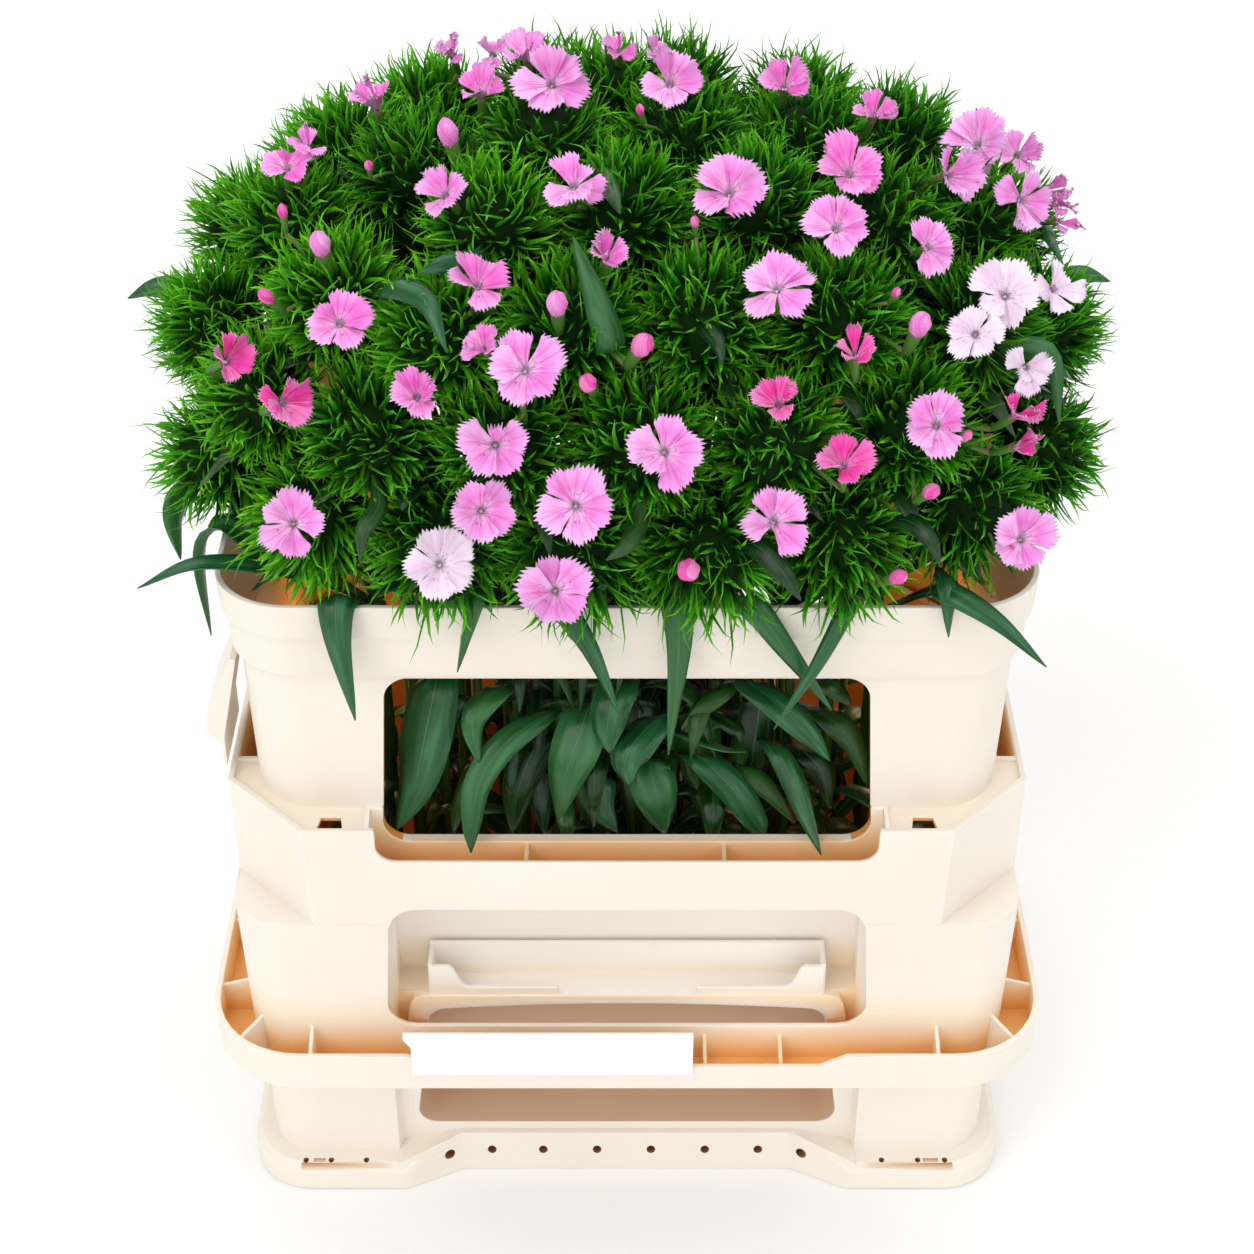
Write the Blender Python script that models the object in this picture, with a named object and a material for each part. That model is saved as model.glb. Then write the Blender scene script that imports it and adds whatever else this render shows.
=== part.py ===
"""Dianthus plant standing in its two-piece cream plastic container.

Metres, +Z up, front towards -Y.  The origin is the middle of the bucket's
underside, on the surface that the container stands on.

The container is an inner bucket with a foot flange, grip recesses and label
shelves, and a windowed outer collar that sits on the bucket's corner
shoulders.  The plant is a close dome of flowering stems.  Each stem grew as
one piece, so each is one solid: stalk, tufted head, flowers and leaves.
"""

import math

import bmesh
import bpy
from mathutils import Matrix, Vector

MM = 0.001

# ---------------------------------------------------------------- dimensions
# bucket (mm)
FOOT_X, FOOT_Y, FOOT_R, FOOT_H = 187.5, 138.5, 30.0, 18.0
BUCKET_X, BUCKET_Y, BUCKET_R = 177.4, 127.7, 22.0
BUCKET_TOP = 190.0
SHOULDER_Z = 172.0          # corner shoulders that carry the collar
BUCKET_FLOOR = 4.0
BUCKET_WALL = 3.3
RECESS_X, RECESS_Y = 114.0, 117.0
GRIP_X, GRIP_Y, GRIP_TOP = 106.0, 121.5, 118.0
POCKET_X, POCKET_Z0, POCKET_Z1, POCKET_Y = 103.0, 31.0, 113.0, 86.5
SHELF_X, SHELF_BACK_Y = 94.5, 103.5
# collar (mm)
SKIRT_X, SKIRT_Y, SKIRT_R = 200.0, 150.0, 45.0
SKIRT_Z0, SKIRT_Z1, SKIRT_DIP = 84.0, 106.0, 99.0
GUTTER_Z = 87.0
WALL = 2.6
LEDGE_Z = 175.0             # small corner ledges under the chamfers
BAND_Z = 233.0              # top edge of the chamfered middle band
BAND_DIP = 214.0
UPPER_X, UPPER_Y, UPPER_R = 169.5, 115.0, 30.0
RIM_Z = 347.0
RIM_X, RIM_Y = 178.6, 123.2
WIN_UP = (110.0, 105.0, 212.0, 304.0, 12.0)     # half width low, high, z0, z1, r
WIN_LOW = (113.0, 110.0, 110.0, 184.0, 14.0)
DEEP_Z = 196.0              # floor of the deep middle gutters
# plant (mm)
STALK_R = 2.3
HEAD_R = 24.5               # solid core of a tufted head
HEAD_GAP = 1.2
DOME_X, DOME_Y, DOME_H, DOME_Z0, DOME_P = 188.0, 127.0, 126.0, 378.0, 2.4
DOME_Y0 = 4.0
FOOT_SX, FOOT_SY = 0.66, 0.56
PETAL_R = 14.0
LEAN_T = 0.74               # stalks stand upright up to here, then lean out

# line of sight of the layout: heads, flowers and leaves are set out on the
# dome as they are seen from the front, 36 degrees above the horizon
SIGHT = (0.0, -964.8, 948.6)
SIGHT_PITCH = math.radians(36.0)
SIGHT_F = 2450.0
SIGHT_C = 627.0

# heads that are seen from the front, as (x, y) in that view
HEADS = [
    # along the front rim
    (335, 548), (450, 566), (565, 574), (691, 566), (838, 578), (985, 548),
    # second row, with the corner and side heads
    (218, 412), (318, 450), (428, 478), (540, 472), (655, 462), (768, 480),
    (880, 470), (1010, 450),
    # third row
    (228, 335), (352, 352), (462, 372), (575, 370), (690, 372), (805, 366),
    (920, 368), (1024, 345),
    # fourth row
    (246, 258), (338, 258), (478, 278), (595, 285), (708, 280), (826, 275),
    (938, 272),
    # fifth row
    (292, 180), (382, 166), (476, 200), (582, 190), (694, 196), (800, 192),
    (904, 186), (992, 196),
    # top edge
    (434, 98), (522, 100), (612, 106), (704, 100), (786, 106), (878, 138),
]
# heads on the side that faces away, as plan positions (mm)
HEADS_BACK = [
    (-150, 92), (-98, 118), (-45, 128), (8, 130), (60, 128), (112, 114),
    (158, 88), (-66, 100), (-20, 112), (30, 106), (-186, 24), (186, 16),
]

# flowers as they are seen from the front: x, y and half width in that view
FLOWERS = [
    (377, 110, 30), (295, 166, 27), (448, 199, 26), (482, 98, 22),
    (527, 62, 22), (552, 88, 36), (619, 50, 18), (670, 87, 32),
    (784, 91, 23), (872, 120, 21), (574, 190, 30), (729, 197, 38),
    (606, 262, 23), (478, 290, 30), (340, 326, 31), (226, 363, 23),
    (282, 404, 27), (418, 400, 28), (486, 352, 22), (526, 373, 38),
    (497, 446, 36), (664, 453, 38), (777, 408, 25), (854, 359, 19),
    (935, 427, 34), (841, 469, 29), (1010, 418, 20), (1012, 448, 16),
    (296, 524, 33), (482, 511, 32), (576, 506, 36), (773, 523, 35),
    (440, 565, 38), (556, 590, 38), (1017, 540, 33), (776, 293, 37),
    (835, 232, 32), (924, 250, 28), (848, 178, 34), (942, 178, 30),
    (978, 148, 34), (1018, 200, 31), (1003, 292, 36), (1048, 285, 27),
    (975, 335, 27), (1022, 368, 25),
]
# and on the side that faces away, as plan positions (mm)
FLOWERS_BACK = [
    (-168, 74), (-120, 104), (-72, 118), (-22, 128), (34, 124), (84, 120),
    (138, 100), (-52, 92), (6, 100), (62, 90),
]


# ------------------------------------------------------------------- helpers
def clear_scene():
    for obj in list(bpy.data.objects):
        bpy.data.objects.remove(obj, do_unlink=True)


def material(name, colour, rough, metal=0.0):
    mat = bpy.data.materials.new(name)
    mat.use_nodes = True
    shader = mat.node_tree.nodes["Principled BSDF"]
    shader.inputs["Base Color"].default_value = (*colour, 1.0)
    shader.inputs["Roughness"].default_value = rough
    shader.inputs["Metallic"].default_value = metal
    return mat


def add_object(name, verts, faces, mat=None):
    mesh = bpy.data.meshes.new(name)
    mesh.from_pydata([tuple(c * MM for c in v) for v in verts], [], faces)
    bm = bmesh.new()
    bm.from_mesh(mesh)
    bmesh.ops.recalc_face_normals(bm, faces=bm.faces)
    bm.to_mesh(mesh)
    bm.free()
    obj = bpy.data.objects.new(name, mesh)
    bpy.context.scene.collection.objects.link(obj)
    if mat is not None:
        mesh.materials.append(mat)
    return obj


def boolean(obj, tool, operation):
    """Carve or join tool into obj, and take the tool away."""
    mod = obj.modifiers.new("bool", "BOOLEAN")
    mod.operation = operation
    mod.solver = "EXACT"
    mod.object = tool
    bpy.context.view_layer.update()
    deps = bpy.context.evaluated_depsgraph_get()
    mesh = bpy.data.meshes.new_from_object(obj.evaluated_get(deps))
    obj.modifiers.clear()
    old = obj.data
    obj.data = mesh
    bpy.data.meshes.remove(old)
    bpy.data.objects.remove(tool, do_unlink=True)
    mats = [m for m in obj.data.materials if m is not None]
    first = mats[0] if mats else None
    obj.data.materials.clear()
    if first is not None:
        obj.data.materials.append(first)
    for poly in obj.data.polygons:
        poly.material_index = 0
    return obj


def ring(hx, hy, corner, z, chamfer=False, n=4, cx=0.0, cy=0.0):
    """A rounded or chamfered rectangle, counter-clockwise, n points a corner."""
    points = []
    for quarter in range(4):
        sx = 1 if quarter in (0, 3) else -1
        sy = 1 if quarter in (0, 1) else -1
        for k in range(n):
            t = k / (n - 1)
            if quarter in (1, 3):
                t = 1.0 - t
            if chamfer:
                x, y = hx - corner * t, hy - corner * (1.0 - t)
            else:
                a = t * math.pi / 2
                x = hx - corner + corner * math.cos(a)
                y = hy - corner + corner * math.sin(a)
            points.append((cx + sx * x, cy + sy * y, z))
    return points


def tube_faces(count, n, closed):
    faces = []
    for i in range(count if closed else count - 1):
        a, b = i * n, ((i + 1) % count) * n
        for k in range(n):
            m = (k + 1) % n
            faces.append((a + k, a + m, b + m, b + k))
    return faces


def loft(name, rings, mat=None, closed=False):
    """Skin over rings; closed joins the last ring to the first."""
    n = len(rings[0])
    verts = [p for r in rings for p in r]
    faces = tube_faces(len(rings), n, closed)
    if not closed:
        faces.append(tuple(range(n - 1, -1, -1)))
        faces.append(tuple(range(len(verts) - n, len(verts))))
    return add_object(name, verts, faces, mat)


def block(x0, x1, y0, y1, z0, z1):
    verts = [(x, y, z) for z in (z0, z1) for x, y in
             ((x0, y0), (x1, y0), (x1, y1), (x0, y1))]
    faces = [(3, 2, 1, 0), (4, 5, 6, 7)] + [
        (k, (k + 1) % 4, 4 + (k + 1) % 4, 4 + k) for k in range(4)]
    return verts, faces


def prism_y(outline, y0, y1):
    """A prism along Y from an (x, z) outline."""
    n = len(outline)
    verts = [(x, y0, z) for x, z in outline] + [(x, y1, z) for x, z in outline]
    faces = [tuple(range(n)), tuple(range(2 * n - 1, n - 1, -1))] + [
        (k, (k + 1) % n, n + (k + 1) % n, n + k) for k in range(n)]
    return verts, faces


def prism_z(outline, z0, z1):
    n = len(outline)
    verts = [(x, y, z0) for x, y in outline] + [(x, y, z1) for x, y in outline]
    faces = [tuple(range(n - 1, -1, -1)), tuple(range(n, 2 * n))] + [
        (k, (k + 1) % n, n + (k + 1) % n, n + k) for k in range(n)]
    return verts, faces


def prism_x(outline, x0, x1):
    """A prism along X from a (y, z) outline."""
    n = len(outline)
    verts = [(x0, y, z) for y, z in outline] + [(x1, y, z) for y, z in outline]
    faces = [tuple(range(n)), tuple(range(2 * n - 1, n - 1, -1))] + [
        (k, (k + 1) % n, n + (k + 1) % n, n + k) for k in range(n)]
    return verts, faces


def mirrored(part, x=False, y=False):
    verts, faces = part
    out = [(-v[0] if x else v[0], -v[1] if y else v[1], v[2]) for v in verts]
    return out, faces


def group(name, parts, mat=None):
    """One mesh from separate closed solids that do not touch each other."""
    verts, faces = [], []
    for v, f in parts:
        base = len(verts)
        verts += list(v)
        faces += [tuple(base + k for k in face) for face in f]
    return add_object(name, verts, faces, mat)


def four(part):
    return [part, mirrored(part, x=True), mirrored(part, y=True),
            mirrored(part, x=True, y=True)]


def window(half_low, half_high, z0, z1, r, n=4):
    """Outline of a window with round corners, wider below than above."""
    points = []
    for quarter in range(4):
        sx = 1 if quarter in (0, 3) else -1
        top = quarter in (0, 1)
        half = half_high if top else half_low
        cz = z1 - r if top else z0 + r
        sz = 1 if top else -1
        for k in range(n):
            t = k / (n - 1)
            if quarter in (1, 3):
                t = 1.0 - t
            a = t * math.pi / 2
            points.append((sx * (half - r + r * math.cos(a)),
                           cz + sz * r * math.sin(a)))
    return points


# ----------------------------------------------------------------- container
def make_bucket(mat):
    body = loft("bucket", [
        ring(FOOT_X - 1.5, FOOT_Y - 1.5, FOOT_R - 1.5, 0.0),
        ring(FOOT_X, FOOT_Y, FOOT_R, 1.5),
        ring(FOOT_X, FOOT_Y, FOOT_R, 13.0),
        ring(FOOT_X - 3.0, FOOT_Y - 3.0, FOOT_R - 3.0, FOOT_H - 0.6),
        ring(BUCKET_X + 0.2, BUCKET_Y + 0.2, BUCKET_R, FOOT_H),
        ring(BUCKET_X, BUCKET_Y, BUCKET_R, SHOULDER_Z - 0.2),
        ring(BUCKET_X - 0.4, BUCKET_Y - 0.6, 38.0, SHOULDER_Z, True),
        ring(BUCKET_X - 0.4, BUCKET_Y - 0.6, 38.0, BUCKET_TOP, True),
    ], mat)

    # inside, left thick where the grip pockets and recesses come in
    ix, iy = BUCKET_X - BUCKET_WALL, BUCKET_Y - BUCKET_WALL
    inside = loft("inside", [
        ring(ix - 1.0, iy - 1.0, 16.0, BUCKET_FLOOR),
        ring(ix, iy, 17.0, SHOULDER_Z - 3.6),
        ring(ix - 0.2, iy - 0.2, 37.5, SHOULDER_Z - 3.0, True),
        ring(ix - 0.2, iy - 0.2, 37.5, BUCKET_TOP + 20.0, True),
    ])
    low = block(-117.5, 117.5, -140.0, -(POCKET_Y - 3.0), 1.0, 122.0)
    high = block(-118.5, 118.5, -141.0, -97.0, 0.5, BUCKET_TOP + 30.0)
    for part in (low, mirrored(low, y=True)):
        boolean(inside, group("boss", [part]), "DIFFERENCE")
    for part in (high, mirrored(high, y=True)):
        boolean(inside, group("boss", [part]), "DIFFERENCE")
    boolean(body, inside, "DIFFERENCE")

    # recessed middle of the front and the back, with slanted returns
    recess = prism_z([(-RECESS_X - 0.6, -131.0), (RECESS_X + 0.6, -131.0),
                      (RECESS_X - 4.5, -RECESS_Y), (-RECESS_X + 4.5, -RECESS_Y)],
                     FOOT_H + 0.4, BUCKET_TOP + 10.0)
    upper = block(-109.3, 109.3, -125.0, -101.5, GRIP_TOP, BUCKET_TOP + 12.0)
    boolean(body, group("recess", [recess, mirrored(recess, y=True)]), "DIFFERENCE")
    boolean(body, group("upper", [upper, mirrored(upper, y=True)]), "DIFFERENCE")

    # foot set back in the middle, with a brow over it that falls off to
    # the corners
    for flip in (False, True):
        brow = prism_x([(-125.4, 2.0), (-125.4, 25.6), (-123.9, 26.6),
                        (-112.0, 26.6), (-112.0, 2.0)], -84.4, 84.4)
        boolean(body, group("brow", [mirrored(brow, y=flip)]), "UNION")
        for side in (False, True):
            wing = ([(-84.0, -126.0, 5.0), (-84.0, -112.5, 5.0),
                     (-113.4, -112.5, 5.0), (-113.4, -138.0, 5.0),
                     (-84.0, -126.0, 26.2), (-84.0, -112.5, 26.2),
                     (-113.4, -112.5, 18.3), (-113.4, -138.0, 18.3)],
                    [(0, 1, 2, 3), (7, 6, 5, 4), (0, 4, 5, 1), (1, 5, 6, 2),
                     (2, 6, 7, 3), (3, 7, 4, 0)])
            boolean(body, group("wing", [mirrored(wing, x=side, y=flip)]), "UNION")
    setback = prism_z([(-112.8, -139.6), (112.8, -139.6), (82.0, -124.5),
                       (-82.0, -124.5)], -1.0, FOOT_H + 14.0)
    boolean(body, group("setback", [setback, mirrored(setback, y=True)]), "DIFFERENCE")

    # grip box around the hand pocket, narrower at its top
    frame = prism_y([(-110.4, 20.0), (110.4, 20.0), (GRIP_X, GRIP_TOP - 26.0),
                     (GRIP_X - 2.4, GRIP_TOP - 6.0), (GRIP_X - 8.0, GRIP_TOP),
                     (-GRIP_X + 8.0, GRIP_TOP), (-GRIP_X + 2.4, GRIP_TOP - 6.0),
                     (-GRIP_X, GRIP_TOP - 26.0)], -GRIP_Y, -100.0)
    boolean(body, group("frame", [frame]), "UNION")
    boolean(body, group("frame", [mirrored(frame, y=True)]), "UNION")
    pocket = prism_y(window(POCKET_X, POCKET_X, POCKET_Z0, POCKET_Z1, 12.0, 4),
                     -128.0, -POCKET_Y)
    boolean(body, group("pocket", [pocket, mirrored(pocket, y=True)]), "DIFFERENCE")

    # label shelf on the grip box: back, ends and stepped front lip
    for flip in (False, True):
        tray = [
            block(-SHELF_X, SHELF_X, -105.6, -103.5, GRIP_TOP - 2.0, 138.0),
            block(-60.0, -33.0, -120.4, -118.4, GRIP_TOP - 2.0, 122.4),
            block(33.0, 60.0, -120.4, -118.4, GRIP_TOP - 2.0, 122.4),
        ]
        ends = [
            block(SHELF_X - 2.0, SHELF_X, -119.9, -104.5, GRIP_TOP - 2.0, 137.2),
            prism_y([(59.0, GRIP_TOP - 2.0), (SHELF_X - 0.8, GRIP_TOP - 2.0),
                     (SHELF_X - 0.8, 136.2), (83.0, 136.2), (77.0, 122.6),
                     (59.0, 122.6)], -120.6, -118.2),
        ]
        for part in tray:
            boolean(body, group("tray", [mirrored(part, y=flip)]), "UNION")
        for part in ends:
            for side in (False, True):
                boolean(body, group("end", [mirrored(part, x=side, y=flip)]), "UNION")
    return body


def make_collar(mat):
    ox, oy = SKIRT_X, SKIRT_Y
    body = loft("collar", [
        ring(ox - 0.8, oy - 0.8, SKIRT_R - 0.8, SKIRT_Z0),
        ring(ox, oy, SKIRT_R, SKIRT_Z1),
        ring(ox - 2.8, oy - 2.8, SKIRT_R - 2.8, SKIRT_Z1),
        ring(ox - 3.4, oy - 3.4, SKIRT_R - 3.4, GUTTER_Z),
        ring(181.3, 131.5, 24.0, GUTTER_Z),
        ring(183.6, 133.3, 24.0, LEDGE_Z),
        ring(183.3, 133.0, 39.0, LEDGE_Z, True),
        ring(183.0, 135.0, 37.0, BAND_Z, True),
        ring(180.4, 132.4, 36.0, BAND_Z, True),
        ring(180.2, 132.2, 36.0, BAND_Z - 3.0, True),
        ring(UPPER_X, UPPER_Y, UPPER_R, BAND_Z - 3.0),
        ring(171.5, 117.0, 30.0, 305.0),
        ring(174.6, 119.8, 31.0, 309.0),
        ring(175.8, 120.8, 32.0, 327.0),
        ring(177.7, 122.5, 33.0, 330.0),
        ring(RIM_X, RIM_Y, 33.0, RIM_Z),
        ring(RIM_X - 2.6, RIM_Y - 2.6, 31.0, RIM_Z),
        ring(174.9, 119.7, 30.0, 330.0),
        ring(168.9, 114.4, 28.0, 304.0),
        ring(167.0, 112.4, 28.0, BAND_Z - 5.6),
        ring(180.2, 132.0, 35.0, BAND_Z - 5.6, True),
        ring(180.7, 130.4, 37.0, LEDGE_Z - 2.4, True),
        ring(181.0, 130.7, 19.5, LEDGE_Z - 2.6),
        ring(178.7, 128.9, 19.5, SKIRT_Z0),
    ], mat, closed=True)

    # deep middle gutters at the front and back, and along the sides
    trough = block(-118.2, 118.2, -133.0, -112.0, DEEP_Z - 2.6, BAND_Z - 1.4)
    hollow = block(-115.6, 115.6, -132.2, -117.6, DEEP_Z, BAND_Z + 20.0)
    side = block(166.6, 182.0, -82.0, 82.0, DEEP_Z - 2.6, BAND_Z - 1.4)
    side_hollow = block(171.9, 180.0, -79.4, 79.4, DEEP_Z, BAND_Z + 20.0)
    for part in (trough, mirrored(trough, y=True), side, mirrored(side, x=True)):
        boolean(body, group("trough", [part]), "UNION")
    boolean(body, group("hollow", [
        hollow, mirrored(hollow, y=True), side_hollow,
        mirrored(side_hollow, x=True)]), "DIFFERENCE")
    dip = prism_y([(-113.0, BAND_Z + 9.0), (-113.0, BAND_DIP + 9.0),
                   (-109.6, BAND_DIP + 3.0), (-104.0, BAND_DIP),
                   (104.0, BAND_DIP), (109.6, BAND_DIP + 3.0),
                   (113.0, BAND_DIP + 9.0), (113.0, BAND_Z + 9.0)],
                  -140.0, -125.0)
    boolean(body, group("dip", [dip, mirrored(dip, y=True)]), "DIFFERENCE")
    plates = [block(-49.5, -47.5, -133.0, -116.5, DEEP_Z - 1.5, 211.0),
              block(47.5, 49.5, -133.0, -116.5, DEEP_Z - 1.5, 211.0)]
    plates += [mirrored(p, y=True) for p in plates]
    for part in plates:
        boolean(body, group("plate", [part]), "UNION")

    # windows
    upper = prism_y(window(*WIN_UP), -124.0, -104.0)
    lower = prism_y(window(*WIN_LOW), -140.0, -124.0)
    boolean(body, group("upper", [upper, mirrored(upper, y=True)]), "DIFFERENCE")
    boolean(body, group("lower", [lower, mirrored(lower, y=True)]), "DIFFERENCE")

    # skirt edge, lower in the middle
    edge = prism_y([(-104.0, SKIRT_Z1 + 4.0), (-104.0, SKIRT_Z1 + 0.01),
                    (-91.0, SKIRT_DIP), (91.0, SKIRT_DIP),
                    (104.0, SKIRT_Z1 + 0.01), (104.0, SKIRT_Z1 + 4.0)],
                   -154.0, -142.0)
    boolean(body, group("edge", [edge, mirrored(edge, y=True)]), "DIFFERENCE")

    # ribs across the skirt gutter, higher at the wall than at the edge
    for x, top in ((-150.0, 103.0), (-73.0, 97.0), (-37.0, 97.0), (37.0, 97.0),
                   (73.0, 97.0), (147.5, 103.0)):
        rib = prism_x([(-131.0, GUTTER_Z - 1.0), (-131.0, top + 6.0),
                       (-148.2, top), (-148.2, GUTTER_Z - 1.0)], x - 0.9, x + 0.9)
        boolean(body, group("rib", [rib]), "UNION")
        boolean(body, group("rib", [mirrored(rib, y=True)]), "UNION")
    for y in (-98.0, -52.0, 0.0, 52.0, 98.0):
        rib = prism_y([(180.8, GUTTER_Z - 1.0), (180.8, 108.0),
                       (198.2, 103.0), (198.2, GUTTER_Z - 1.0)], y - 0.9, y + 0.9)
        boolean(body, group("rib", [rib]), "UNION")
        boolean(body, group("rib", [mirrored(rib, x=True)]), "UNION")
    for sx in (-1, 1):
        for sy in (-1, 1):
            rib, faces = prism_y([(-1.8, GUTTER_Z - 1.0), (-1.8, 109.0),
                                  (14.2, 103.0), (14.2, GUTTER_Z - 1.0)], -0.9, 0.9)
            turn = math.atan2(sy, sx)
            ca, sa = math.cos(turn), math.sin(turn)
            placed = [(sx * 175.5 + ca * x - sa * y, sy * 125.5 + sa * x + ca * y, z)
                      for x, y, z in rib]
            boolean(body, group("rib", [(placed, faces)]), "UNION")
    return body


def make_label(mat):
    outline = [(-101.5, 95.6), (31.0, 95.6), (31.0, 122.8), (-104.8, 122.8),
               (-104.8, 118.5), (-101.5, 114.0)]
    return group("label_card", [prism_y(outline, -151.6, -150.4)], mat)


def make_side_clip(mat):
    """A sloped tongue hooked into the left side gutter."""
    outline = [(-171.0, 296.0), (-173.6, 297.0), (-190.0, 258.0),
               (-190.0, 249.0), (-184.6, 246.0), (-184.6, 253.0)]
    outline = [(-174.4, 296.0), (-176.6, 297.0), (-191.0, 262.0),
               (-191.0, 254.0), (-184.8, 250.0), (-184.8, 236.0),
               (-183.4, 236.0), (-183.4, 252.0)]
    return group("side_clip", [prism_y(outline, -92.0, -50.0)], mat)


# --------------------------------------------------------------------- plant
def sight_ray(px, py):
    """Point and direction of the line of sight through (px, py)."""
    cp, sp = math.cos(SIGHT_PITCH), math.sin(SIGHT_PITCH)
    u, v = (px - SIGHT_C) / SIGHT_F, (py - SIGHT_C) / SIGHT_F
    forward = Vector((0.0, cp, -sp))
    down = Vector((0.0, -sp, -cp))
    return Vector(SIGHT), (forward + u * Vector((1, 0, 0)) + v * down).normalized()


def dome_level(p, grow):
    """Below 1 inside the dome, which is grown by grow mm on every side."""
    z = max(p.z - DOME_Z0, 0.0)
    return (abs(p.x / (DOME_X + grow)) ** DOME_P
            + abs((p.y - DOME_Y0) / (DOME_Y + grow)) ** DOME_P
            + (z / (DOME_H + grow)) ** DOME_P)


def dome_normal(p, grow):
    def term(value, half):
        return (1 if value >= 0 else -1) * DOME_P * abs(value / half) ** (DOME_P - 1) / half
    n = Vector((term(p.x, DOME_X + grow), term(p.y - DOME_Y0, DOME_Y + grow),
                term(max(p.z - DOME_Z0, 0.0), DOME_H + grow)))
    return n.normalized() if n.length > 1e-9 else Vector((0, 0, 1))


def to_dome(p, grow, low):
    """The point of the dome that lies under p, along rays from its middle."""
    base = Vector((0.0, DOME_Y0, DOME_Z0 - 60.0))
    ray = p - base
    if ray.z < 1.0:
        ray.z = 1.0
    near, far = 0.0, 4.0
    for _ in range(40):
        mid = (near + far) / 2
        if dome_level(base + ray * mid, grow) < 1.0:
            near = mid
        else:
            far = mid
    q = base + ray * near
    q.z = max(q.z, low)
    return q


def seen_on_dome(px, py, grow, low):
    start, ray = sight_ray(px, py)
    best, best_level = None, 1e9
    step = 2.0
    t = 600.0
    while t < 1700.0:
        p = start + ray * t
        level = dome_level(p, grow)
        if p.z < low - 70.0:
            break
        if level < best_level:
            best, best_level = p.copy(), level
        if level < 1.0:
            break
        t += step
    return to_dome(best, grow, low)


def plan_on_dome(x, y, grow, low):
    p = Vector((x, y, DOME_Z0))
    level = abs(x / (DOME_X + grow)) ** DOME_P + abs((y - DOME_Y0) / (DOME_Y + grow)) ** DOME_P
    z = DOME_Z0
    if level < 1.0:
        z += (DOME_H + grow) * (1.0 - level) ** (1.0 / DOME_P)
    p.z = z
    return to_dome(p, grow, low)


def head_places():
    """Centres of the heads, pushed apart until none touches another."""
    centres = [seen_on_dome(px, py, 0.0, DOME_Z0) for px, py in HEADS]
    centres += [plan_on_dome(x, y, 0.0, DOME_Z0) for x, y in HEADS_BACK]
    even, least = 2 * HEAD_R + 8.0, 2 * HEAD_R + HEAD_GAP
    for turn in range(460):
        # first spread evenly, then settle the last near pairs
        want, push = (even, 0.22) if turn < 60 else (least, 0.5)
        moved = 0.0
        for i in range(len(centres)):
            for j in range(i + 1, len(centres)):
                gap = centres[j] - centres[i]
                if gap.length < want:
                    shift = gap.normalized() * (want - gap.length) * push
                    centres[i] -= shift
                    centres[j] += shift
                    moved = max(moved, shift.length)
        if moved < 0.05 and turn > 70:
            break
        centres = [to_dome(c, 0.0, DOME_Z0) for c in centres]
    return centres


def stalk_point(head, t):
    """Point of a stalk at 0 to 1 of its height: upright, then leaning out."""
    ease = max(0.0, (t - LEAN_T) / (1.0 - LEAN_T))
    fx, fy = head.x * FOOT_SX, head.y * FOOT_SY
    z0 = BUCKET_FLOOR + 0.5
    return Vector((fx + (head.x - fx) * ease, fy + (head.y - fy) * ease,
                   z0 + (head.z - z0) * t))


def skin(name, points, radii, sides, mat, flats=None, widths=None):
    """A tube along points. With flats, a blade: widths along flats."""
    verts, faces = [], []
    count = len(points)
    for i, p in enumerate(points):
        if i == 0:
            ahead = points[1] - points[0]
        elif i == count - 1:
            ahead = points[-1] - points[-2]
        else:
            ahead = points[i + 1] - points[i - 1]
        ahead.normalize()
        if flats is None:
            side = Vector((1, 0, 0)) if abs(ahead.x) < 0.9 else Vector((0, 1, 0))
        else:
            side = flats[i]
        side = (side - ahead * side.dot(ahead)).normalized()
        up = ahead.cross(side)
        for k in range(sides):
            a = 2 * math.pi * (k + 0.5) / sides
            w = radii[i] if widths is None else widths[i]
            verts.append(p + side * math.cos(a) * w + up * math.sin(a) * radii[i])
    faces = tube_faces(count, sides, False)
    faces.append(tuple(range(sides - 1, -1, -1)))
    faces.append(tuple(range(len(verts) - sides, len(verts))))
    return add_object(name, [tuple(v) for v in verts], faces, mat)


def make_stem(name, head, mat):
    points, radii = [], []
    for t in (0.0, LEAN_T, 0.925):
        points.append(stalk_point(head, t))
        radii.append(STALK_R)
    top = stalk_point(head, 1.0)
    axis = (top - stalk_point(head, 0.93)).normalized()
    axis = (axis + Vector((0, 0, 1.2))).normalized()
    for angle in (168.0, 136.0, 103.0, 70.0, 38.0, 12.0):
        a = math.radians(angle)
        points.append(top + axis * HEAD_R * math.cos(a))
        radii.append(HEAD_R * math.sin(a) * 0.985)
    return skin(name, points, radii, 8, mat)


def flower_solid(centre, direction, start, reach, r0, r1):
    """A trumpet from inside the head out to the open petals."""
    side = direction.cross(Vector((0, 0, 1)))
    if side.length < 0.1:
        side = Vector((1, 0, 0))
    side.normalize()
    up = direction.cross(side)
    verts = []
    for dist, r in ((start, r0), (reach - 2.5, r1), (reach, r1 * 0.93)):
        for k in range(7):
            a = 2 * math.pi * k / 7
            verts.append(centre + direction * dist
                         + (side * math.cos(a) + up * math.sin(a)) * r)
    faces = tube_faces(3, 7, False)
    faces.append(tuple(range(6, -1, -1)))
    faces.append(tuple(range(14, 21)))
    return [tuple(v) for v in verts], faces


def blade(name, points, width, thick, across):
    """A long leaf along points, widest at 40 % of its length."""
    count = len(points)
    widths, radii, flats = [], [], []
    for i in range(count):
        t = i / (count - 1)
        w = width * 0.5 * (math.sin(math.pi * min(1.0, 0.18 + 0.82 * t) ** 0.9)) + 0.8
        widths.append(max(w, 1.0))
        radii.append(thick * 0.5 * (1.0 - 0.4 * t))
        flats.append(across)
    return skin(name, points, radii, 6, None, flats, widths)


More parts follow.
